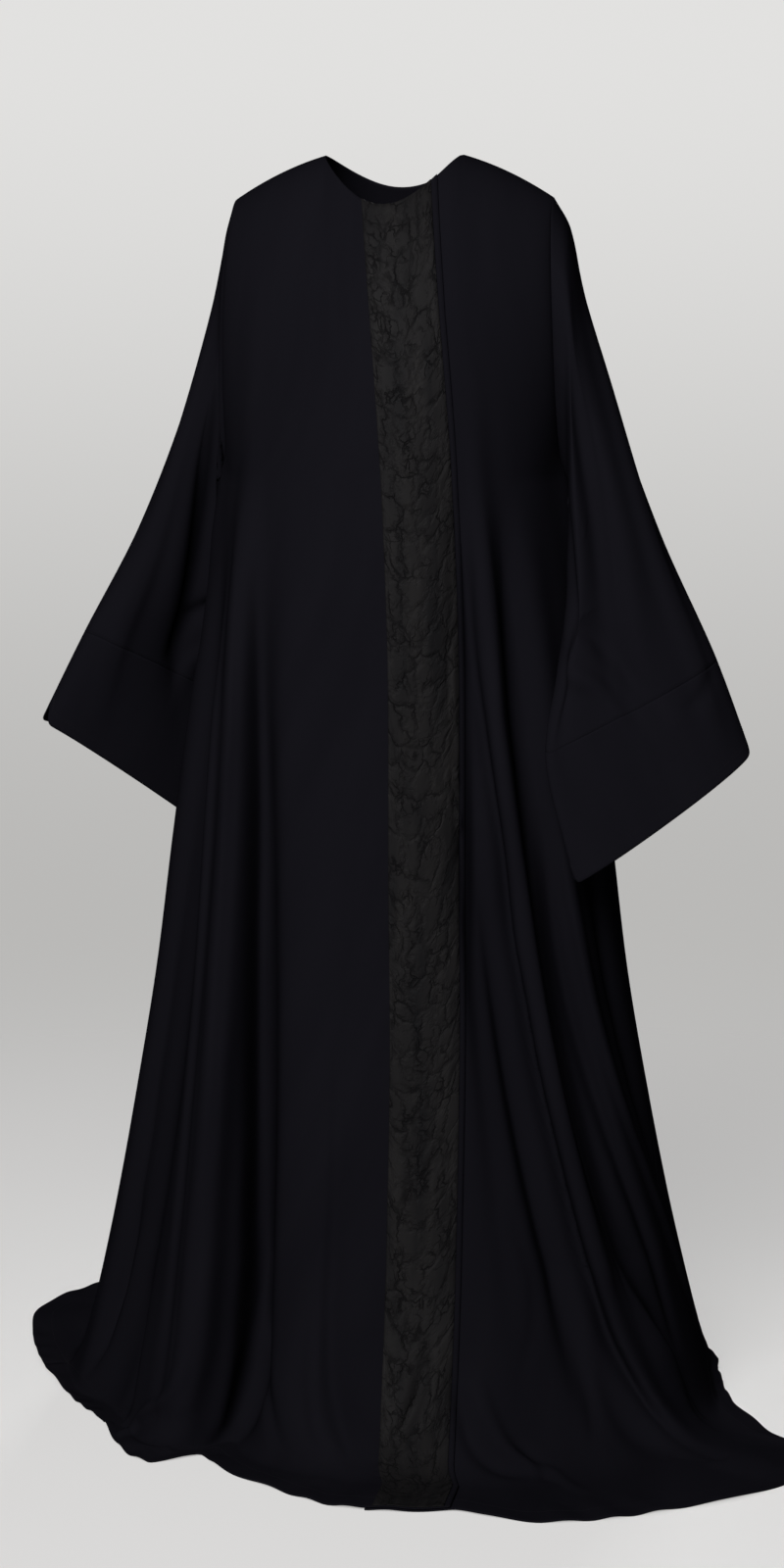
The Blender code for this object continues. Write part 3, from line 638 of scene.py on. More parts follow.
def cloth(name, outside, outward, layer, across, along, ring=False):
    """A closed sheet: its outer face is `outside`, its inner face a layer behind it, and its cut
    edges are rounded. The UV map is its place on the flat cloth, in metres."""
    rows, columns = outside.shape[:2]
    layer = np.broadcast_to(np.asarray(layer, float), (rows, columns))[..., None]
    inside = outside - outward * layer
    inside[..., 2] = np.maximum(inside[..., 2], 0.0)
    last = columns if ring else columns - 1
    loops = [outside.reshape(-1, 3), inside.reshape(-1, 3)]
    number = np.arange(rows * columns).reshape(rows, columns)
    i, j = np.meshgrid(np.arange(rows - 1), np.arange(last), indexing="ij")
    k = (j + 1) % columns
    quads = [np.stack([number[i, j], number[i + 1, j], number[i + 1, k], number[i, k]], -1)]
    turned = np.stack([number[i, j], number[i, k], number[i + 1, k], number[i + 1, j]], -1)
    quads.append(turned + rows * columns)
    around = ((i, j), (i + 1, j), (i + 1, j + 1), (i, j + 1))
    places = [np.stack([across[corner], along[corner]], -1) for corner in around]
    maps = [np.stack(places, 2), np.stack([places[0], places[3], places[2], places[1]], 2)]
    total = 2 * rows * columns

    def rim(path, other, out_way, uv, closed):
        """The rounded edge between the two faces, along one side of the sheet."""
        nonlocal total
        count = len(path)
        a, b = loops[0][path], loops[1][path]
        thick = np.linalg.norm(a - b, axis=-1, keepdims=True)
        loops.append((a + b) / 2 + out_way * thick * EDGE_ROUND)
        middle = np.arange(total, total + count)
        total += count
        n = np.arange(count if closed else count - 1)
        m = (n + 1) % count
        inner = path + rows * columns
        for first, second in ((path, middle), (middle, inner)):
            quad = np.stack([first[n], second[n], second[m], first[m]], -1)
            quads.append(quad[:, ::-1] if other else quad)
            spots = np.stack([uv[n], uv[n], uv[n + 1], uv[n + 1]], 1)
            maps.append(spots[:, ::-1] if other else spots)

    flat_uv = np.stack([across, along], -1)
    for row, towards, other in ((0, 1, True), (rows - 1, rows - 2, False)):
        way = unit(outside[row] - outside[towards])
        rim(number[row], other, way, flat_uv[row], ring)
    if not ring:
        for column, towards, other in ((0, 1, False), (columns - 1, columns - 2, True)):
            way = unit(outside[:, column] - outside[:, towards])
            rim(number[:, column], other, way, flat_uv[:, column], False)
        # The rims are loops 2 to 5: first row, last row, first column, last column. They share corners.
        for row, column, corner, end in ((2, 4, 0, 0), (2, 5, -1, 0), (3, 4, 0, -1), (3, 5, -1, -1)):
            loops[row][corner] = loops[column][end] = (loops[row][corner] + loops[column][end]) / 2
    points = np.concatenate(loops) - DROP
    faces = np.concatenate([q.reshape(-1, 4) for q in quads])
    corners = np.concatenate([m.reshape(-1, 2) for m in maps])
    mesh = bpy.data.meshes.new(name)
    mesh.from_pydata(points.tolist(), [], faces.tolist())
    layer_uv = mesh.uv_layers.new(name="flat_cloth")
    layer_uv.data.foreach_set("uv", corners.astype(np.float32).ravel())
    shell = bmesh.new()
    shell.from_mesh(mesh)
    bmesh.ops.remove_doubles(shell, verts=shell.verts, dist=1e-6)
    if shell.calc_volume(signed=True) < 0:
        bmesh.ops.reverse_faces(shell, faces=shell.faces)
    shell.to_mesh(mesh)
    shell.free()
    mesh.shade_smooth()
    piece = bpy.data.objects.new(name, mesh)
    bpy.context.scene.collection.objects.link(piece)
    return piece


def flat_places(points, ring=False):
    """How far each grid point is across and down the flat cloth, in metres."""
    closed = np.concatenate([points, points[:, :1]], axis=1) if ring else points
    across = np.cumsum(np.linalg.norm(np.diff(closed, axis=1), axis=-1), axis=1)
    across = np.concatenate([np.zeros((len(points), 1)), across], axis=1)
    along = np.cumsum(np.linalg.norm(np.diff(closed, axis=0), axis=-1), axis=0)
    along = np.concatenate([np.zeros((1, closed.shape[1])), along], axis=0)
    return across, along


def row_stations(upper, fall, foot, floor):
    """Places down the body for a panel's rows, closer together where the cloth turns."""
    runs = [np.linspace(-1, 0, upper + 1)[:-1], np.linspace(0, 1, fall + 1)[:-1]]
    runs += [np.linspace(1, 2, foot + 1)[:-1], np.linspace(2, 3, floor + 1)]
    return np.concatenate(runs)[:, None]


FRONT_OVERLAP = 0.088
OVERLAP_RAMP, RAMP_RISE = 0.035, 0.032  # where the right front climbs onto the left, and over how far
BAND_INSET, BAND_WIDTH = 0.006, 0.074
SMOOTH_REACH, SMOOTH_RAMP = 0.030, 0.010  # how far in from the free edge the overlap lies smooth
DROP_START, DROP_RUN = 0.001, 0.009  # past the free edge, where the cloth drops into its hollow
SMOOTH_LOW, SMOOTH_LOW_FADE, SMOOTH_HIGH_FADE = 0.40, 0.12, 0.08
UPWARD = 0.06  # how far the smooth overlap faces up


def smooth_overlap(points, outward, down):
    """The overlapping edges of the fronts lie smooth over the folds, and drop just past the free edge."""
    edge = edge_x(down)
    begin = edge - SMOOTH_REACH
    angle = angle_at(begin, down)
    first = body(angle, down, neck_share(angle))
    radius = np.hypot(first[..., 0], first[..., 1])
    x, height = points[..., 0], points[..., 2]
    arc = -np.sqrt(np.maximum(radius**2 - x**2, 1e-6))
    share = ease((x - begin) / SMOOTH_RAMP) * (1 - ease((x - edge - DROP_START) / DROP_RUN))
    share = share * ease((height - SMOOTH_LOW) / SMOOTH_LOW_FADE)
    share = share * (1 - ease((height - UNDERARM) / SMOOTH_HIGH_FADE))
    points[..., 1] -= share * np.maximum(points[..., 1] - arc, 0)
    round_it = stack(x / radius, arc / radius, UPWARD)
    return points, unit(outward + share[..., None] * (round_it - outward))


SEAM_PUCKER, PUCKER_PITCH, PUCKER_WIDTH, PUCKER_END = 0.0006, 0.017, 0.006, 2.4
PUCKER_SWAY, SWAY_PITCH = 1.6, 0.083  # how unevenly the gathers follow each other
HEM_WAVE, WAVE_COUNT, WAVE_START = 0.0011, 47, 2.2
WAVE_SWAY, SWAY_COUNT = 2.2, 11
STRAIGHT_ON = 0.8  # how far the front's folds lean to the middle, where they lap over their valleys
LEAN_WITHIN, LEAN_FADE, LEAN_FOOT = 50, 38, 0.8  # degrees from the middle, and places past the fall


def seam_pucker(angle, down, from_seam):
    """The small gathers along the band's seam."""
    run = down * (UNDERARM - FOOT_TOP)
    sway = PUCKER_SWAY * np.sin(2 * np.pi * run / SWAY_PITCH)
    beside = np.exp(-((from_seam / PUCKER_WIDTH) ** 2)) * (angle < SIDE)
    gathers = SEAM_PUCKER * np.sin(2 * np.pi * run / PUCKER_PITCH + sway)
    return gathers * beside * ease((PUCKER_END - down) / 0.4)


def hem_waves(angle, down):
    """Uneven ripples all along the hem, where it lies on the floor."""
    sway = WAVE_SWAY * np.sin(np.radians(SWAY_COUNT * angle))
    waves = 1 + np.sin(np.radians(WAVE_COUNT * angle) + sway)
    return HEM_WAVE * waves * ease((down - WAVE_START) / 0.7)


def panel(angle, down, armholes, raised=0.0):
    """Outer points and outward directions of one body panel with its creases."""
    start = neck_share(angle[:1])
    outward = body_normal(angle, down, start)
    points = body(angle, down, start)
    lift = crease_lift(points, outward, BODY_CREASES, body_spot)
    facing = -1 if at_front(angle[0].mean()) else 1
    if facing < 0:
        points, outward = smooth_overlap(points, outward, down)
    for column, table in armholes:
        rows = down[:, 0] <= 0
        turn = 1 + down[rows, 0] if facing < 0 else 1 - down[rows, 0]
        outward[rows, column] = armhole_mitre(table, turn)
    lift = lift + seam_pucker(angle, down, points[..., 0] - edge_x(down) + BAND_INSET + BAND_WIDTH)
    lift = lift + hem_waves(angle, down)
    straight = (angle < SIDE + 1) * (1 - ease((np.abs(angle) - LEAN_WITHIN) / LEAN_FADE))
    straight = straight * (1 - ease((down - 1) / LEAN_FOOT))
    pushed = unit(outward + STRAIGHT_ON * straight[..., None] * (np.array([0, -1, 0]) - outward))
    points = points + outward * np.asarray(raised)[..., None] + pushed * lift[..., None]
    points[..., 2] = np.maximum(points[..., 2], HEM_LAYERS)
    return points, outward


TURN_UP, TURN_UP_RAMP = 1.7, 0.4


def panel_layers(down):
    """The cloth's thickness down a panel: it thickens to the turned-up hem on the floor."""
    return LAYER + (HEM_LAYERS - LAYER) * ease((down - TURN_UP) / TURN_UP_RAMP)


def feed(tree, made, inputs):
    """Sets each input of a shader node to a value, or links it from another node's output."""
    for name, value in inputs.items():
        if isinstance(value, bpy.types.NodeSocket):
            tree.links.new(value, made.inputs[name])
        else:
            made.inputs[name].default_value = value


def node(tree, kind, output, inputs=None, **settings):
    """One output of a new shader node that has these inputs and settings."""
    made = tree.nodes.new("ShaderNode" + kind)
    for name, value in settings.items():
        setattr(made, name, value)
    feed(tree, made, inputs or {})
    return made.outputs[output]


def material(name):
    """A new material, its node tree and its Principled shader."""
    made = bpy.data.materials.new(name)
    made.use_nodes = True
    return made, made.node_tree, made.node_tree.nodes["Principled BSDF"]


def line_from_end(points, outward, back):
    """A line across a grid at one distance up from its last row, and the directions there."""
    gone = np.cumsum(np.linalg.norm(np.diff(points[::-1], axis=0), axis=-1), axis=0)
    columns = np.arange(points.shape[1])
    row = np.minimum((gone < back).sum(axis=0), len(points) - 2)
    before = np.where(row > 0, gone[np.maximum(row - 1, 0), columns], 0.0)
    t = ((back - before) / (gone[row, columns] - before))[:, None]
    low, high = len(points) - 1 - row, len(points) - 2 - row
    place = points[low, columns] * (1 - t) + points[high, columns] * t
    return place, unit(outward[low, columns] * (1 - t) + outward[high, columns] * t)


def stitches(name, lines, pitch=0.0032, length=0.0023, width=0.0005):
    """Rows of stitches along lines of points on the cloth, each stitch a small bead half sunk in it."""
    corners, faces = [], []
    bead = ((0, 2, 4), (2, 1, 4), (1, 3, 4), (3, 0, 4), (2, 0, 5), (1, 2, 5), (3, 1, 5), (0, 3, 5))
    for line, outward in lines:
        gone = np.concatenate([[0], np.cumsum(np.linalg.norm(np.diff(line, axis=0), axis=1))])
        at = np.arange(pitch, gone[-1] - pitch, pitch)
        middle = np.stack([np.interp(at, gone, line[:, k]) for k in range(3)], -1)
        ahead = np.stack([np.interp(at + pitch / 4, gone, line[:, k]) for k in range(3)], -1)
        out = unit(np.stack([np.interp(at, gone, outward[:, k]) for k in range(3)], -1))
        way = unit(ahead - middle)
        out = unit(out - way * (out * way).sum(-1, keepdims=True))
        across = np.cross(way, out)
        ends = [-way * length / 2, way * length / 2, -across * width / 2, across * width / 2]
        ends += [out * width / 2, -out * width / 2]
        for k, place in enumerate(middle):
            first = len(corners)
            corners.extend(place + end[k] for end in ends)
            faces.extend(tuple(first + c for c in face) for face in bead)
    mesh = bpy.data.meshes.new(name)
    mesh.from_pydata((np.array(corners) - DROP).tolist(), [], faces)
    shell = bmesh.new()
    shell.from_mesh(mesh)
    bmesh.ops.recalc_face_normals(shell, faces=shell.faces)
    shell.to_mesh(mesh)
    shell.free()
    rows = bpy.data.objects.new(name, mesh)
    bpy.context.scene.collection.objects.link(rows)
    rows.data.materials.append(THREAD)
    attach(rows, "root")
    return rows


def thread_material():
    """Black spun thread, a little glossier than the crepe."""
    made, tree, shader = material("black_thread")
    place = node(tree, "TexCoord", "Object")
    twist = node(tree, "TexNoise", "Fac", {"Vector": place, "Scale": 2500.0})
    shades = {"A": (0.0050, 0.0048, 0.0060, 1), "B": (0.0110, 0.0105, 0.0130, 1)}
    colour = node(tree, "Mix", "Result", {"Factor": twist, **shades}, data_type="RGBA")
    feed(tree, shader, {"Base Color": colour, "Roughness": 0.5, "Specular IOR Level": 0.02})
    return made


THREAD = thread_material()
HEM_TURN, NECK_TURN, NECK_ROWS = 0.028, 0.006, 12  # how far in the stitches run, and the rows they may cross
FRONT_ROWS = row_stations(56, 104, 48, 26)
BAND_LINES = np.linspace(-BAND_INSET - BAND_WIDTH, -BAND_INSET, 25)  # columns that band and fronts share


def front_right_grid():
    """Points, outward directions and angles of the right front, from the side seam to the free edge."""
    ramp = np.linspace(-FRONT_OVERLAP - OVERLAP_RAMP, BAND_LINES[0], 15)[:-1]
    offsets = np.concatenate([ramp, BAND_LINES, [-BAND_INSET / 2, 0]])
    near_edge = angle_at(edge_x(FRONT_ROWS) + offsets[None, :], FRONT_ROWS)
    turn = near_edge[:, :1]
    corner = (90 - NECK_CORNER) / (90 + turn[0, 0])
    runs = ((0, 0.22, 13), (0.22, 0.75, 96), (0.75, corner, 20), (corner, 1, 7))  # start, end, columns
    shares = np.concatenate([np.linspace(a, b, count, endpoint=b == 1) for a, b, count in runs])
    angle = np.concatenate([-SIDE + (turn + SIDE) * shares[None, :-1], near_edge], axis=1)
    over = ease((offsets + FRONT_OVERLAP + OVERLAP_RAMP) / RAMP_RISE)
    raised = np.zeros(angle.shape)
    raised[:, -len(offsets) :] = PANEL_LIFT * over
    points, outward = panel(angle, FRONT_ROWS, [(0, SLEEVE_RIGHT)], raised)
    return points, outward, angle


right_points, right_outward, right_angle = front_right_grid()
front_layers = panel_layers(FRONT_ROWS)
across, along = flat_places(right_points)
front_right = cloth("right_front_cloth", right_points, right_outward, front_layers, across, along)
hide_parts("front_right")
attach(front_right, "root")


def group(name, inputs, outputs):
    """An empty node group with named number or vector inputs and number outputs."""
    made = bpy.data.node_groups.new(name, "ShaderNodeTree")
    for label, kind, value in inputs:
        socket = made.interface.new_socket(name=label, in_out="INPUT", socket_type=kind)
        if value is not None:
            socket.default_value = value
    for label in outputs:
        made.interface.new_socket(name=label, in_out="OUTPUT", socket_type="NodeSocketFloat")
    return made, made.nodes.new("NodeGroupInput"), made.nodes.new("NodeGroupOutput")


def crepe_grain():
    """The pebbly face of crimped threads, and the slow streaks of a hanging cloth's nap."""
    sockets = (
        ("Place", "NodeSocketVector", None),
        ("Grain", "NodeSocketFloat", 900.0),
        ("Streak", "NodeSocketFloat", 14.0),
    )
    made, given, result = group("crepe_grain", sockets, ("Height", "Tone"))
    place, grain, streak = (given.outputs[name] for name in ("Place", "Grain", "Streak"))
    squeezed = node(made, "VectorMath", "Vector", {0: place, 1: (1.0, 0.55, 1.0)}, operation="MULTIPLY")
    pebbles = {"Vector": squeezed, "Scale": grain, "Detail": 1.5, "Distortion": 0.6}
    stretched = node(made, "VectorMath", "Vector", {0: place, 1: (1.0, 0.16, 1.0)}, operation="MULTIPLY")
    nap = {"Vector": stretched, "Scale": streak, "Detail": 4.0}
    height = node(made, "TexNoise", "Fac", pebbles)
    feed(made, result, {"Height": height, "Tone": node(made, "TexNoise", "Fac", nap)})
    return made


CREPE_GRAIN = crepe_grain()


def crepe_material():
    """Black crepe: a matt cloth with a fine grain of crimped threads, in faint long streaks."""
    made, tree, shader = material("black_crepe")
    place = node(tree, "UVMap", "UV", uv_map="flat_cloth")
    tone = node(tree, "Group", "Tone", {"Place": place}, node_tree=CREPE_GRAIN)
    shades = {"A": (0.0040, 0.0038, 0.0053, 1), "B": (0.0062, 0.0059, 0.0080, 1)}
    colour = node(tree, "Mix", "Result", {"Factor": tone, **shades}, data_type="RGBA")
    rough = node(tree, "MapRange", "Result", {"Value": tone, "To Min": 0.66, "To Max": 0.80})
    pebbles = {"Height": tone.node.outputs["Height"], "Strength": 0.35, "Distance": 0.0002}
    look = {"Base Color": colour, "Roughness": rough, "Normal": node(tree, "Bump", "Normal", pebbles)}
    feed(tree, shader, {**look, "Specular IOR Level": 0.0})
    return made


CREPE = crepe_material()
front_right.data.materials.append(CREPE)


def neck_line(points, outward, angle):
    """The line just below a panel's neck edge, and the directions there."""
    along_neck = np.abs((angle[0] + 90) % 180 - 90) < NECK_CORNER
    line, out = line_from_end(points[:NECK_ROWS][::-1], outward[:NECK_ROWS][::-1], NECK_TURN)
    return line[along_neck], out[along_neck]


right_rows = stitches(
    "right_front_stitches",
    [
        line_from_end(right_points, right_outward, HEM_TURN),
        (right_points[:, -2], right_outward[:, -2]),
        neck_line(right_points, right_outward, right_angle),
    ],
)

# ---------------------------------------------------------------------------------------------
# Left front. The same crepe, cut as the right front but without the band. Its free edge lies
# under the right front's, and a long fold swings out from under the arm to the floor.
# ---------------------------------------------------------------------------------------------
LEFT_MARGIN = np.array([0, 0.004]) - FRONT_OVERLAP  # the left front's own free edge
PAST_BAND = np.linspace(-BAND_INSET / 2, 0.012, 6)  # columns on to just past the right front's edge
offsets = np.concatenate([LEFT_MARGIN, BAND_LINES, PAST_BAND])
near_edge = angle_at(edge_x(FRONT_ROWS) + offsets[None, :], FRONT_ROWS)
turn = near_edge[:, -1:]
corner = max((NECK_CORNER - turn[0, 0]) / (90 - turn[0, 0]), 0.05)
shares = np.concatenate([np.linspace(0, corner, 6)[:-1], np.linspace(corner, 1, 122)])
left_angle = np.concatenate([near_edge, turn + (SIDE - turn) * shares[None, 1:]], axis=1)
left_points, left_outward = panel(left_angle, FRONT_ROWS, [(-1, SLEEVE_LEFT)])
across, along = flat_places(left_points)
front_left = cloth("left_front_cloth", left_points, left_outward, front_layers, across, along)
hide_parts("front_left")
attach(front_left, "root")
front_left.data.materials.append(CREPE)
left_rows = stitches(
    "left_front_stitches",
    [
        line_from_end(left_points, left_outward, HEM_TURN),
        neck_line(left_points, left_outward, left_angle),
    ],
)

# ---------------------------------------------------------------------------------------------
# Back. One piece of crepe from side seam to side seam, sewn to both fronts along the shoulders
# and sides. It hangs in long folds from the shoulder blades, with a short train on the floor.
# ---------------------------------------------------------------------------------------------
BACK_ROWS = row_stations(52, 92, 44, 26)
corner = (90 - NECK_CORNER) / 180
runs = ((0, corner, 76), (corner, 1 - corner, 48), (1 - corner, 1, 76))
shares = np.concatenate([np.linspace(a, b, count)[: None if b == 1 else -1] for a, b, count in runs])
back_angle = 180 - SIDE + 2 * SIDE * shares[None, :] + 0 * BACK_ROWS
back_points, back_outward = panel(back_angle, BACK_ROWS, [(0, SLEEVE_LEFT), (-1, SLEEVE_RIGHT)])
across, along = flat_places(back_points)
back = cloth("back_cloth", back_points, back_outward, panel_layers(BACK_ROWS), across, along)
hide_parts("back")
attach(back, "root")
back.data.materials.append(CREPE)
back_rows = stitches(
    "back_stitches",
    [
        line_from_end(back_points, back_outward, HEM_TURN),
        neck_line(back_points, back_outward, back_angle),
    ],
)

# ---------------------------------------------------------------------------------------------
# Sleeves and cuffs. Wide sleeves set into the armholes, each with a deep doubled cuff sewn to its
# slanting lower edge. The arms are held out, so the cloth drags in soft folds from the elbow.
# ---------------------------------------------------------------------------------------------
CUFF_START, CUFF_SEAM = 0.80, 0.0004
TURNS = np.linspace(0, 2, 161)[None, :-1]
SLEEVE_CREASES = {  # widths as on the body, then (share of the length, turn, rise) down the line
    "right": (
        (12, 16, ((0.03, 0.16, 0), (0.20, 0.30, -5), (0.44, 0.48, -8), (0.68, 0.62, -6), (0.92, 0.70, 0))),
        (14, 10, ((0.10, 0.06, 0), (0.30, 0.14, 5), (0.55, 0.22, 7), (0.80, 0.28, 4), (0.98, 0.31, 0))),
        (7, 12, ((0.28, 0.98, 0), (0.42, 0.84, -6), (0.56, 0.70, -8), (0.70, 0.60, -4), (0.80, 0.55, 0))),
        (8, 9, ((0.36, 1.02, 0), (0.50, 0.90, 5), (0.64, 0.78, 6), (0.78, 0.70, 3), (0.88, 0.66, 0))),
        (10, 14, (
            (0.06, 0.88, 0), (0.20, 0.84, -6), (0.36, 0.86, -9), (0.58, 0.92, -7), (0.84, 0.96, -3),
            (1.0, 0.97, 0),
        )),
        (12, 14, ((0.05, 1.16, 0), (0.26, 1.30, -7), (0.50, 1.44, -9), (0.76, 1.55, -5), (0.95, 1.60, 0))),
        (10, 10, ((0.14, 1.74, 0), (0.40, 1.62, 6), (0.66, 1.52, 6), (0.92, 1.46, 0))),
        (8, 9, ((0.30, 1.04, 0), (0.45, 1.16, -5), (0.62, 1.26, -5), (0.76, 1.34, 0))),
    ),
    "left": (
        (13, 15, ((0.04, 0.20, 0), (0.22, 0.34, -6), (0.46, 0.44, -9), (0.72, 0.52, -5), (0.95, 0.56, 0))),
        (12, 11, ((0.12, 0.04, 0), (0.34, 0.12, 6), (0.58, 0.20, 6), (0.84, 0.24, 3), (0.99, 0.26, 0))),
        (10, 14, ((0.30, 0.96, 0), (0.46, 0.80, -4), (0.60, 0.64, -8), (0.74, 0.50, -7), (0.86, 0.40, 0))),
        (9, 9, ((0.38, 1.00, 0), (0.54, 0.86, 3.5), (0.68, 0.70, 7), (0.82, 0.56, 4), (0.92, 0.48, 0))),
        (10, 16, (
            (0.08, 0.90, 0), (0.24, 0.86, -6), (0.44, 0.88, -9), (0.66, 0.90, -9), (0.86, 0.90, -5),
            (1.0, 0.90, -2),
        )),
        (6, 9, ((0.79, 0.12, 0), (0.82, 0.20, -2), (0.84, 0.28, -2.5), (0.85, 0.36, 0))),
        (14, 12, ((0.06, 1.22, 0), (0.28, 1.34, -7), (0.54, 1.46, -9), (0.80, 1.54, -5), (0.97, 1.58, 0))),
        (10, 11, ((0.16, 1.78, 0), (0.44, 1.66, 7), (0.70, 1.56, 6), (0.94, 1.50, 0))),
        (9, 8, ((0.28, 1.06, 0), (0.42, 1.18, -6), (0.58, 1.28, -6), (0.74, 1.38, 0))),
    ),
}
TIP_ROUND, TIP_WIDTH, INNER_ROUND, INNER_WIDTH = 0.034, 0.05, 0.012, 0.04  # the mouth's rounded tips
BACK_RISE = 0.030  # how far the right cuff's mouth rises behind the arm
HEM_THICK, HEM_START, HEM_FADE = 0.0007, 0.93, 0.05  # the cuffs' turned-up hems
SEAM_STITCHES, CUFF_STITCHES = (0.002,), (0.012, 0.015)  # how far in from the lower edge the rows run
UNDERARM_CLEAR = 0.007  # the left sleeve's back half hangs clear of the body under the arm
CLEAR_TURN, CLEAR_SPREAD, CLEAR_SHARE, CLEAR_LENGTH = 1.15, 0.13, 0.16, 0.07


def mouth_share(side):
    """How far down the sleeve the cuff's mouth is, all round."""
    from_tip = np.minimum(TURNS, 2 - TURNS)
    mouth = 1 - TIP_ROUND * np.exp(-((from_tip / TIP_WIDTH) ** 2))
    mouth = mouth - INNER_ROUND * np.exp(-(((1 - from_tip) / INNER_WIDTH) ** 2))
    if side == "right":
        mouth = mouth - BACK_RISE * np.where(TURNS > 1, np.sin(np.pi * (TURNS - 1)), 0)
    return mouth


def sleeve_cloth(side, kind, table, share):
    """A sleeve or a cuff with its creases, and the lines that its stitches follow."""
    outward = sleeve_normal(table, TURNS, share)
    points = sleeve(table, TURNS, share)
    creases = SLEEVE_CREASES[side]
    lift = crease_lift(points, outward, creases, lambda at, turn: sleeve(table, turn, at))
    points = points + outward * lift[..., None]
    if side == "left":
        around, down = (TURNS - CLEAR_TURN) / CLEAR_SPREAD, (share - CLEAR_SHARE) / CLEAR_LENGTH
        beside = np.exp(-(around**2) - down**2)
        points[..., 0] += UNDERARM_CLEAR * beside
    if kind == "sleeve":
        outward[0] = armhole_mitre(table, TURNS[0])
    across, along = flat_places(points, ring=True)
    layers = LAYER + HEM_THICK * (kind == "cuff") * ease((share - HEM_START) / HEM_FADE)
    piece = cloth(f"{side}_{kind}_cloth", points, outward, layers, across, along, ring=True)
    lines = []
    for back in SEAM_STITCHES if kind == "sleeve" else CUFF_STITCHES:
        line, out = line_from_end(points, outward, back)
        lines.append((np.concatenate([line, line[:1]]), np.concatenate([out, out[:1]])))
    return piece, lines


for side, table in (("left", SLEEVE_LEFT), ("right", SLEEVE_RIGHT)):
    runs = (
        ("sleeve", 0.0, CUFF_START - CUFF_SEAM, 100),
        ("cuff", CUFF_START + CUFF_SEAM, mouth_share(side), 44),
    )
    for kind, start, end, count in runs:
        share = start + (end - start) * np.linspace(0, 1, count)[:, None]
        piece, lines = sleeve_cloth(side, kind, table, share)
        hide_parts(f"{kind}_{side}")
        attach(piece, "root")
        piece.data.materials.append(CREPE)
        rows = stitches(f"{side}_{kind}_stitches", lines)

# ---------------------------------------------------------------------------------------------
# Front band. A strip of figured black satin jacquard sewn on the right front beside its edge,
# from the neck to the hem.
# ---------------------------------------------------------------------------------------------
BAND_LAYER, BAND_CLEAR = 0.0008, 0.0003  # the strip's thickness, and its gap from the front under it
band_angle = angle_at(edge_x(FRONT_ROWS) + BAND_LINES[None, :], FRONT_ROWS)
band_base, band_outward = panel(band_angle, FRONT_ROWS, [], PANEL_LIFT)
band_points = band_base + band_outward * (BAND_LAYER + BAND_CLEAR)
across, along = flat_places(band_points)
band = cloth("front_band_cloth", band_points, band_outward, BAND_LAYER, across, along)
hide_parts("front_band")
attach(band, "root")


def vein_figure():
    """Branching veins like bare twigs, broken and uneven, with the cloth puffed up between them."""
    sockets = (
        ("Place", "NodeSocketVector", None),
        ("Cells", "NodeSocketFloat", 40.0),
        ("Width", "NodeSocketFloat", 0.05),
        ("Broken", "NodeSocketFloat", 0.5),
    )
    made, given, result = group("vein_figure", sockets, ("Vein", "Puff"))
    place = given.outputs["Place"]
    uneven = {"Vector": place, "Scale": 50.0, "Detail": 5.0, "Roughness": 0.62}
    sway = node(made, "TexNoise", "Color", uneven)
    level = node(made, "VectorMath", "Vector", {0: sway, 1: (0.5, 0.5, 0.5)}, operation="SUBTRACT")
    moves = node(made, "VectorMath", "Vector", {0: level, 1: (0.026, 0.034, 0.0)}, operation="MULTIPLY")
    bent = node(made, "VectorMath", "Vector", {0: place, 1: moves}, operation="ADD")
    tall = node(made, "VectorMath", "Vector", {0: bent, 1: (1.0, 0.62, 1.0)}, operation="MULTIPLY")
    cells = {"Vector": tall, "Scale": given.outputs["Cells"], "Randomness": 1.0}
    away = node(made, "TexVoronoi", "Distance", cells, feature="DISTANCE_TO_EDGE")
    thin = {"Value": away, "From Max": given.outputs["Width"], "To Min": 1.0, "To Max": 0.0}
    line = node(made, "MapRange", "Result", thin, interpolation_type="SMOOTHSTEP")
    gaps = node(made, "TexNoise", "Fac", {"Vector": place, "Scale": 38.0, "Detail": 3.0})
    kept = node(made, "Math", "Value", {0: gaps, 1: given.outputs["Broken"]}, operation="SUBTRACT")
    fading = node(made, "MapRange", "Result", {"Value": kept, "From Min": -0.06, "From Max": 0.12})
    vein = node(made, "Math", "Value", {0: line, 1: fading}, operation="MULTIPLY")
    high = {"Value": away, "From Max": 0.22}
    puff = node(made, "MapRange", "Result", high, interpolation_type="SMOOTHSTEP")
    feed(made, result, {"Vein": vein, "Puff": puff})
    return made


VEINS = ((46.0, 0.055, 0.47, 0.0), (96.0, 0.085, 0.53, 0.37))  # cells a metre, width, broken, shift


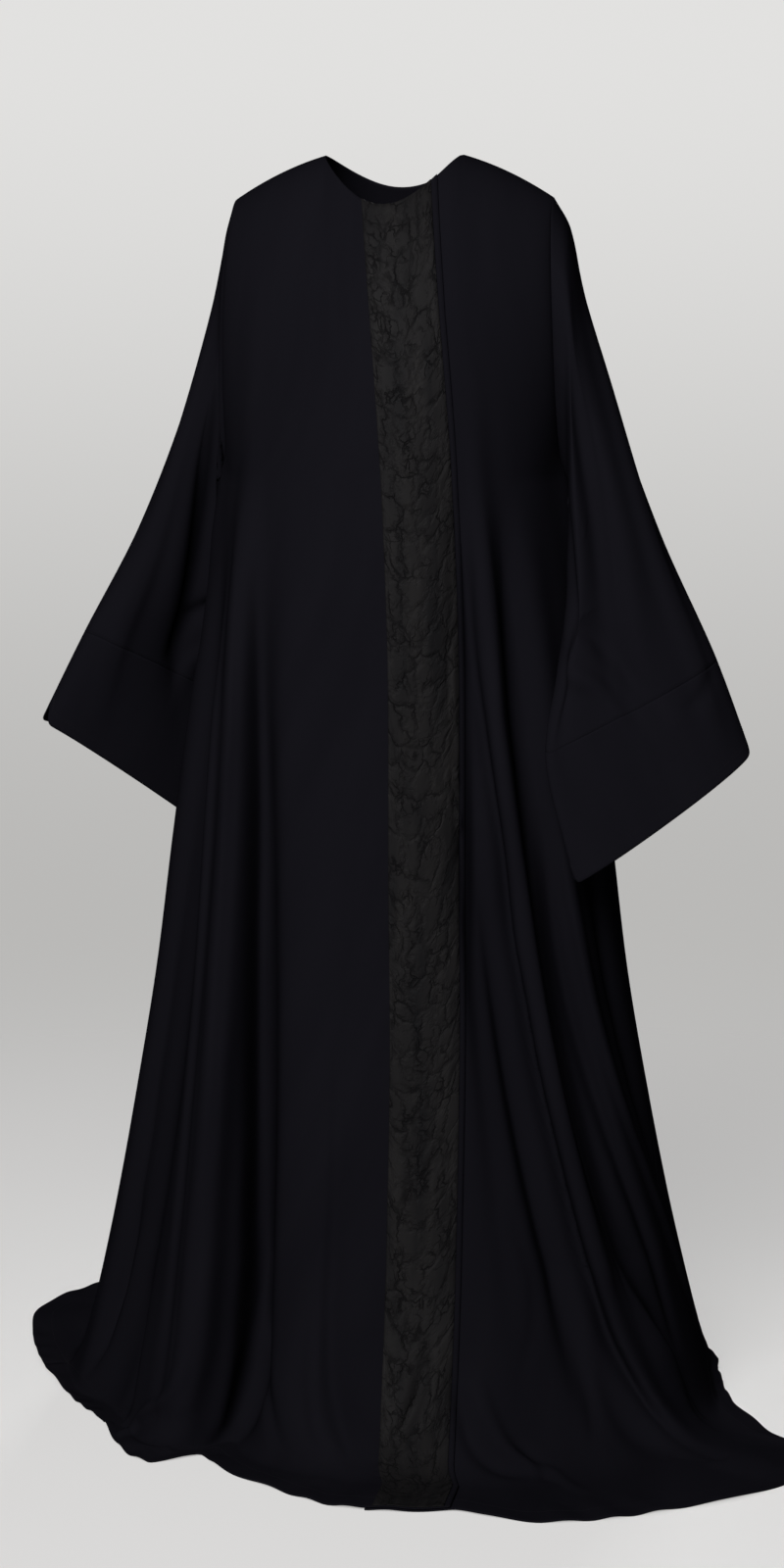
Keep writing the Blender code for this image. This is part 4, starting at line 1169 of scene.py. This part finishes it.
def jacquard_material():
    """Black satin jacquard: branching veins sunk in a puffed, smoother and slightly greyer ground."""
    made, tree, shader = material("black_jacquard")
    place = node(tree, "UVMap", "UV", uv_map="flat_cloth")
    figure = vein_figure()
    drawn = []
    for cells, width, broken, shift in VEINS:
        moved = node(tree, "VectorMath", "Vector", {0: place, 1: (shift, shift, 0.0)}, operation="ADD")
        values = {"Place": moved, "Cells": cells, "Width": width, "Broken": broken}
        drawn.append(node(tree, "Group", "Vein", values, node_tree=figure))
    vein = node(tree, "Math", "Value", {0: drawn[0], 1: drawn[1]}, operation="MAXIMUM")
    threads = {"Place": place, "Grain": 1500.0, "Streak": 45.0}
    tone = node(tree, "Group", "Tone", threads, node_tree=CREPE_GRAIN)
    patchy = node(tree, "MapRange", "Result", {"Value": tone, "From Min": 0.32, "From Max": 0.66})
    shades = {"A": (0.0048, 0.0046, 0.0051, 1), "B": (0.0094, 0.0088, 0.0090, 1)}
    ground = node(tree, "Mix", "Result", {"Factor": patchy, **shades}, data_type="RGBA")
    sunk = node(tree, "Math", "Value", {0: vein, 1: 0.72}, operation="MULTIPLY")
    shades = {"A": ground, "B": (0.0022, 0.0021, 0.0024, 1)}
    colour = node(tree, "Mix", "Result", {"Factor": sunk, **shades}, data_type="RGBA")
    puff = drawn[0].node.outputs["Puff"]
    level = node(tree, "Math", "Value", {0: puff, 1: vein}, operation="SUBTRACT")
    relief = node(tree, "Bump", "Normal", {"Height": level, "Strength": 0.9, "Distance": 0.0008})
    fine = {"Height": tone.node.outputs["Height"], "Strength": 0.25, "Distance": 0.0001, "Normal": relief}
    rough = node(tree, "MapRange", "Result", {"Value": vein, "To Min": 0.55, "To Max": 0.8})
    look = {"Base Color": colour, "Roughness": rough, "Normal": node(tree, "Bump", "Normal", fine)}
    feed(tree, shader, {**look, "Specular IOR Level": 0.03})
    return made


band.data.materials.append(jacquard_material())
band_rows = stitches("band_stitches", [(band_points[:, k], band_outward[:, k]) for k in (1, -2)])

# ---------------------------------------------------------------------------------------------
# Studio: a pale floor that fades into a pale room, soft light and the camera.
# ---------------------------------------------------------------------------------------------
bpy.ops.object.select_all(action="DESELECT")
bpy.ops.mesh.primitive_circle_add(
    vertices=96, radius=4.5, fill_type="NGON", location=(0, 0, -SHOULDER_HEIGHT)
)
floor = bpy.context.active_object
floor.name = "studio_floor"
paper, tree, shader = material("studio_paper")
where = node(tree, "TexCoord", "Object")
far = node(tree, "VectorMath", "Value", {0: where}, operation="LENGTH")
reach = {"Value": far, "From Min": 1.0, "From Max": 3.4, "To Min": 1.0, "To Max": 0.0}
look = {
    "Base Color": (0.28, 0.277, 0.275, 1),
    "Roughness": 0.9,
    "Emission Color": (0.46, 0.455, 0.45, 1),
    "Emission Strength": node(tree, "LightPath", "Is Camera Ray"),
    "Alpha": node(tree, "MapRange", "Result", reach, interpolation_type="SMOOTHSTEP"),
}
feed(tree, shader, look)
floor.data.materials.append(paper)

world = bpy.data.worlds.new("studio_room")
bpy.context.scene.world = world
world.use_nodes = True
tree = world.node_tree
seen = tree.nodes["Background"]
# Seen by the camera, the room is a painted backdrop: darker low down and paler higher up, painted shade that
# deepens towards the floor.
towards = node(tree, "TexCoord", "Generated")
rise = {"Value": node(tree, "SeparateXYZ", "Z", {"Vector": towards}), "From Min": -0.16, "From Max": 0.10}
paler = node(tree, "MapRange", "Result", rise, interpolation_type="SMOOTHSTEP")
tones = {"Factor": paler, "A": (0.49, 0.485, 0.475, 1), "B": (0.76, 0.755, 0.745, 1)}
feed(tree, seen, {"Color": node(tree, "Mix", "Result", tones, data_type="RGBA")})
glow = node(tree, "Background", "Background", {"Color": (0.56, 0.57, 0.60, 1), "Strength": 0.04})
ray = node(tree, "LightPath", "Is Camera Ray")
either = node(tree, "MixShader", "Shader", {0: ray, 1: glow, 2: seen.outputs["Background"]})
feed(tree, tree.nodes["World Output"], {"Surface": either})
bpy.context.scene.view_settings.view_transform = "Standard"

LAMPS = (  # name, place, aim, size, watts, spread in degrees
    ("key_window", (-0.4, -3.1, 1.15), (0, 0, -0.5), 2.0, 59, 95),
    ("side_window", (-3.4, -0.6, 0.6), (0, 0, -0.7), 1.2, 2, 180),
    ("rear_window", (0.3, 3.4, 0.6), (0, 0, -0.4), 0.8, 6, 42),
    ("top_panel", (0.2, 0.8, 2.6), (0, 0, -0.7), 2.0, 4, 180),
)
for name, place, aim, size, watts, spread in LAMPS:
    lamp = bpy.data.lights.new(name, "AREA")
    lamp.shape = "SQUARE"
    lamp.size = size
    lamp.energy = watts
    lamp.spread = np.radians(spread)
    light = bpy.data.objects.new(name, lamp)
    bpy.context.scene.collection.objects.link(light)
    light.location = place
    light.rotation_euler = (Vector(aim) - Vector(place)).to_track_quat("-Z", "Y").to_euler()

FRAME_HEIGHT, MIDDLE_ROW, HORIZON_ROW = 1600, 800, 359  # in pixels of the frame
FOCAL_PIXELS, SHIFT_PIXELS = 3571, -3
CAMERA_DISTANCE, CAMERA_HEIGHT, CAMERA_TURN = 4.0, 1.2, 8.0
FILM_SIZE = 36  # millimetres
camera_data = bpy.data.cameras.new("camera")
camera_data.sensor_width = FILM_SIZE
camera_data.lens = FOCAL_PIXELS * FILM_SIZE / FRAME_HEIGHT
camera_data.shift_x = SHIFT_PIXELS / FRAME_HEIGHT
camera = bpy.data.objects.new("camera", camera_data)
bpy.context.scene.collection.objects.link(camera)
around, tilt = np.radians(CAMERA_TURN), np.arctan((MIDDLE_ROW - HORIZON_ROW) / FOCAL_PIXELS)
out, aside = CAMERA_DISTANCE * np.cos(around), CAMERA_DISTANCE * np.sin(around)
camera.location = (aside, -out, CAMERA_HEIGHT - SHOULDER_HEIGHT)
camera.rotation_euler = (np.pi / 2 - tilt, 0, around)
bpy.context.scene.camera = camera
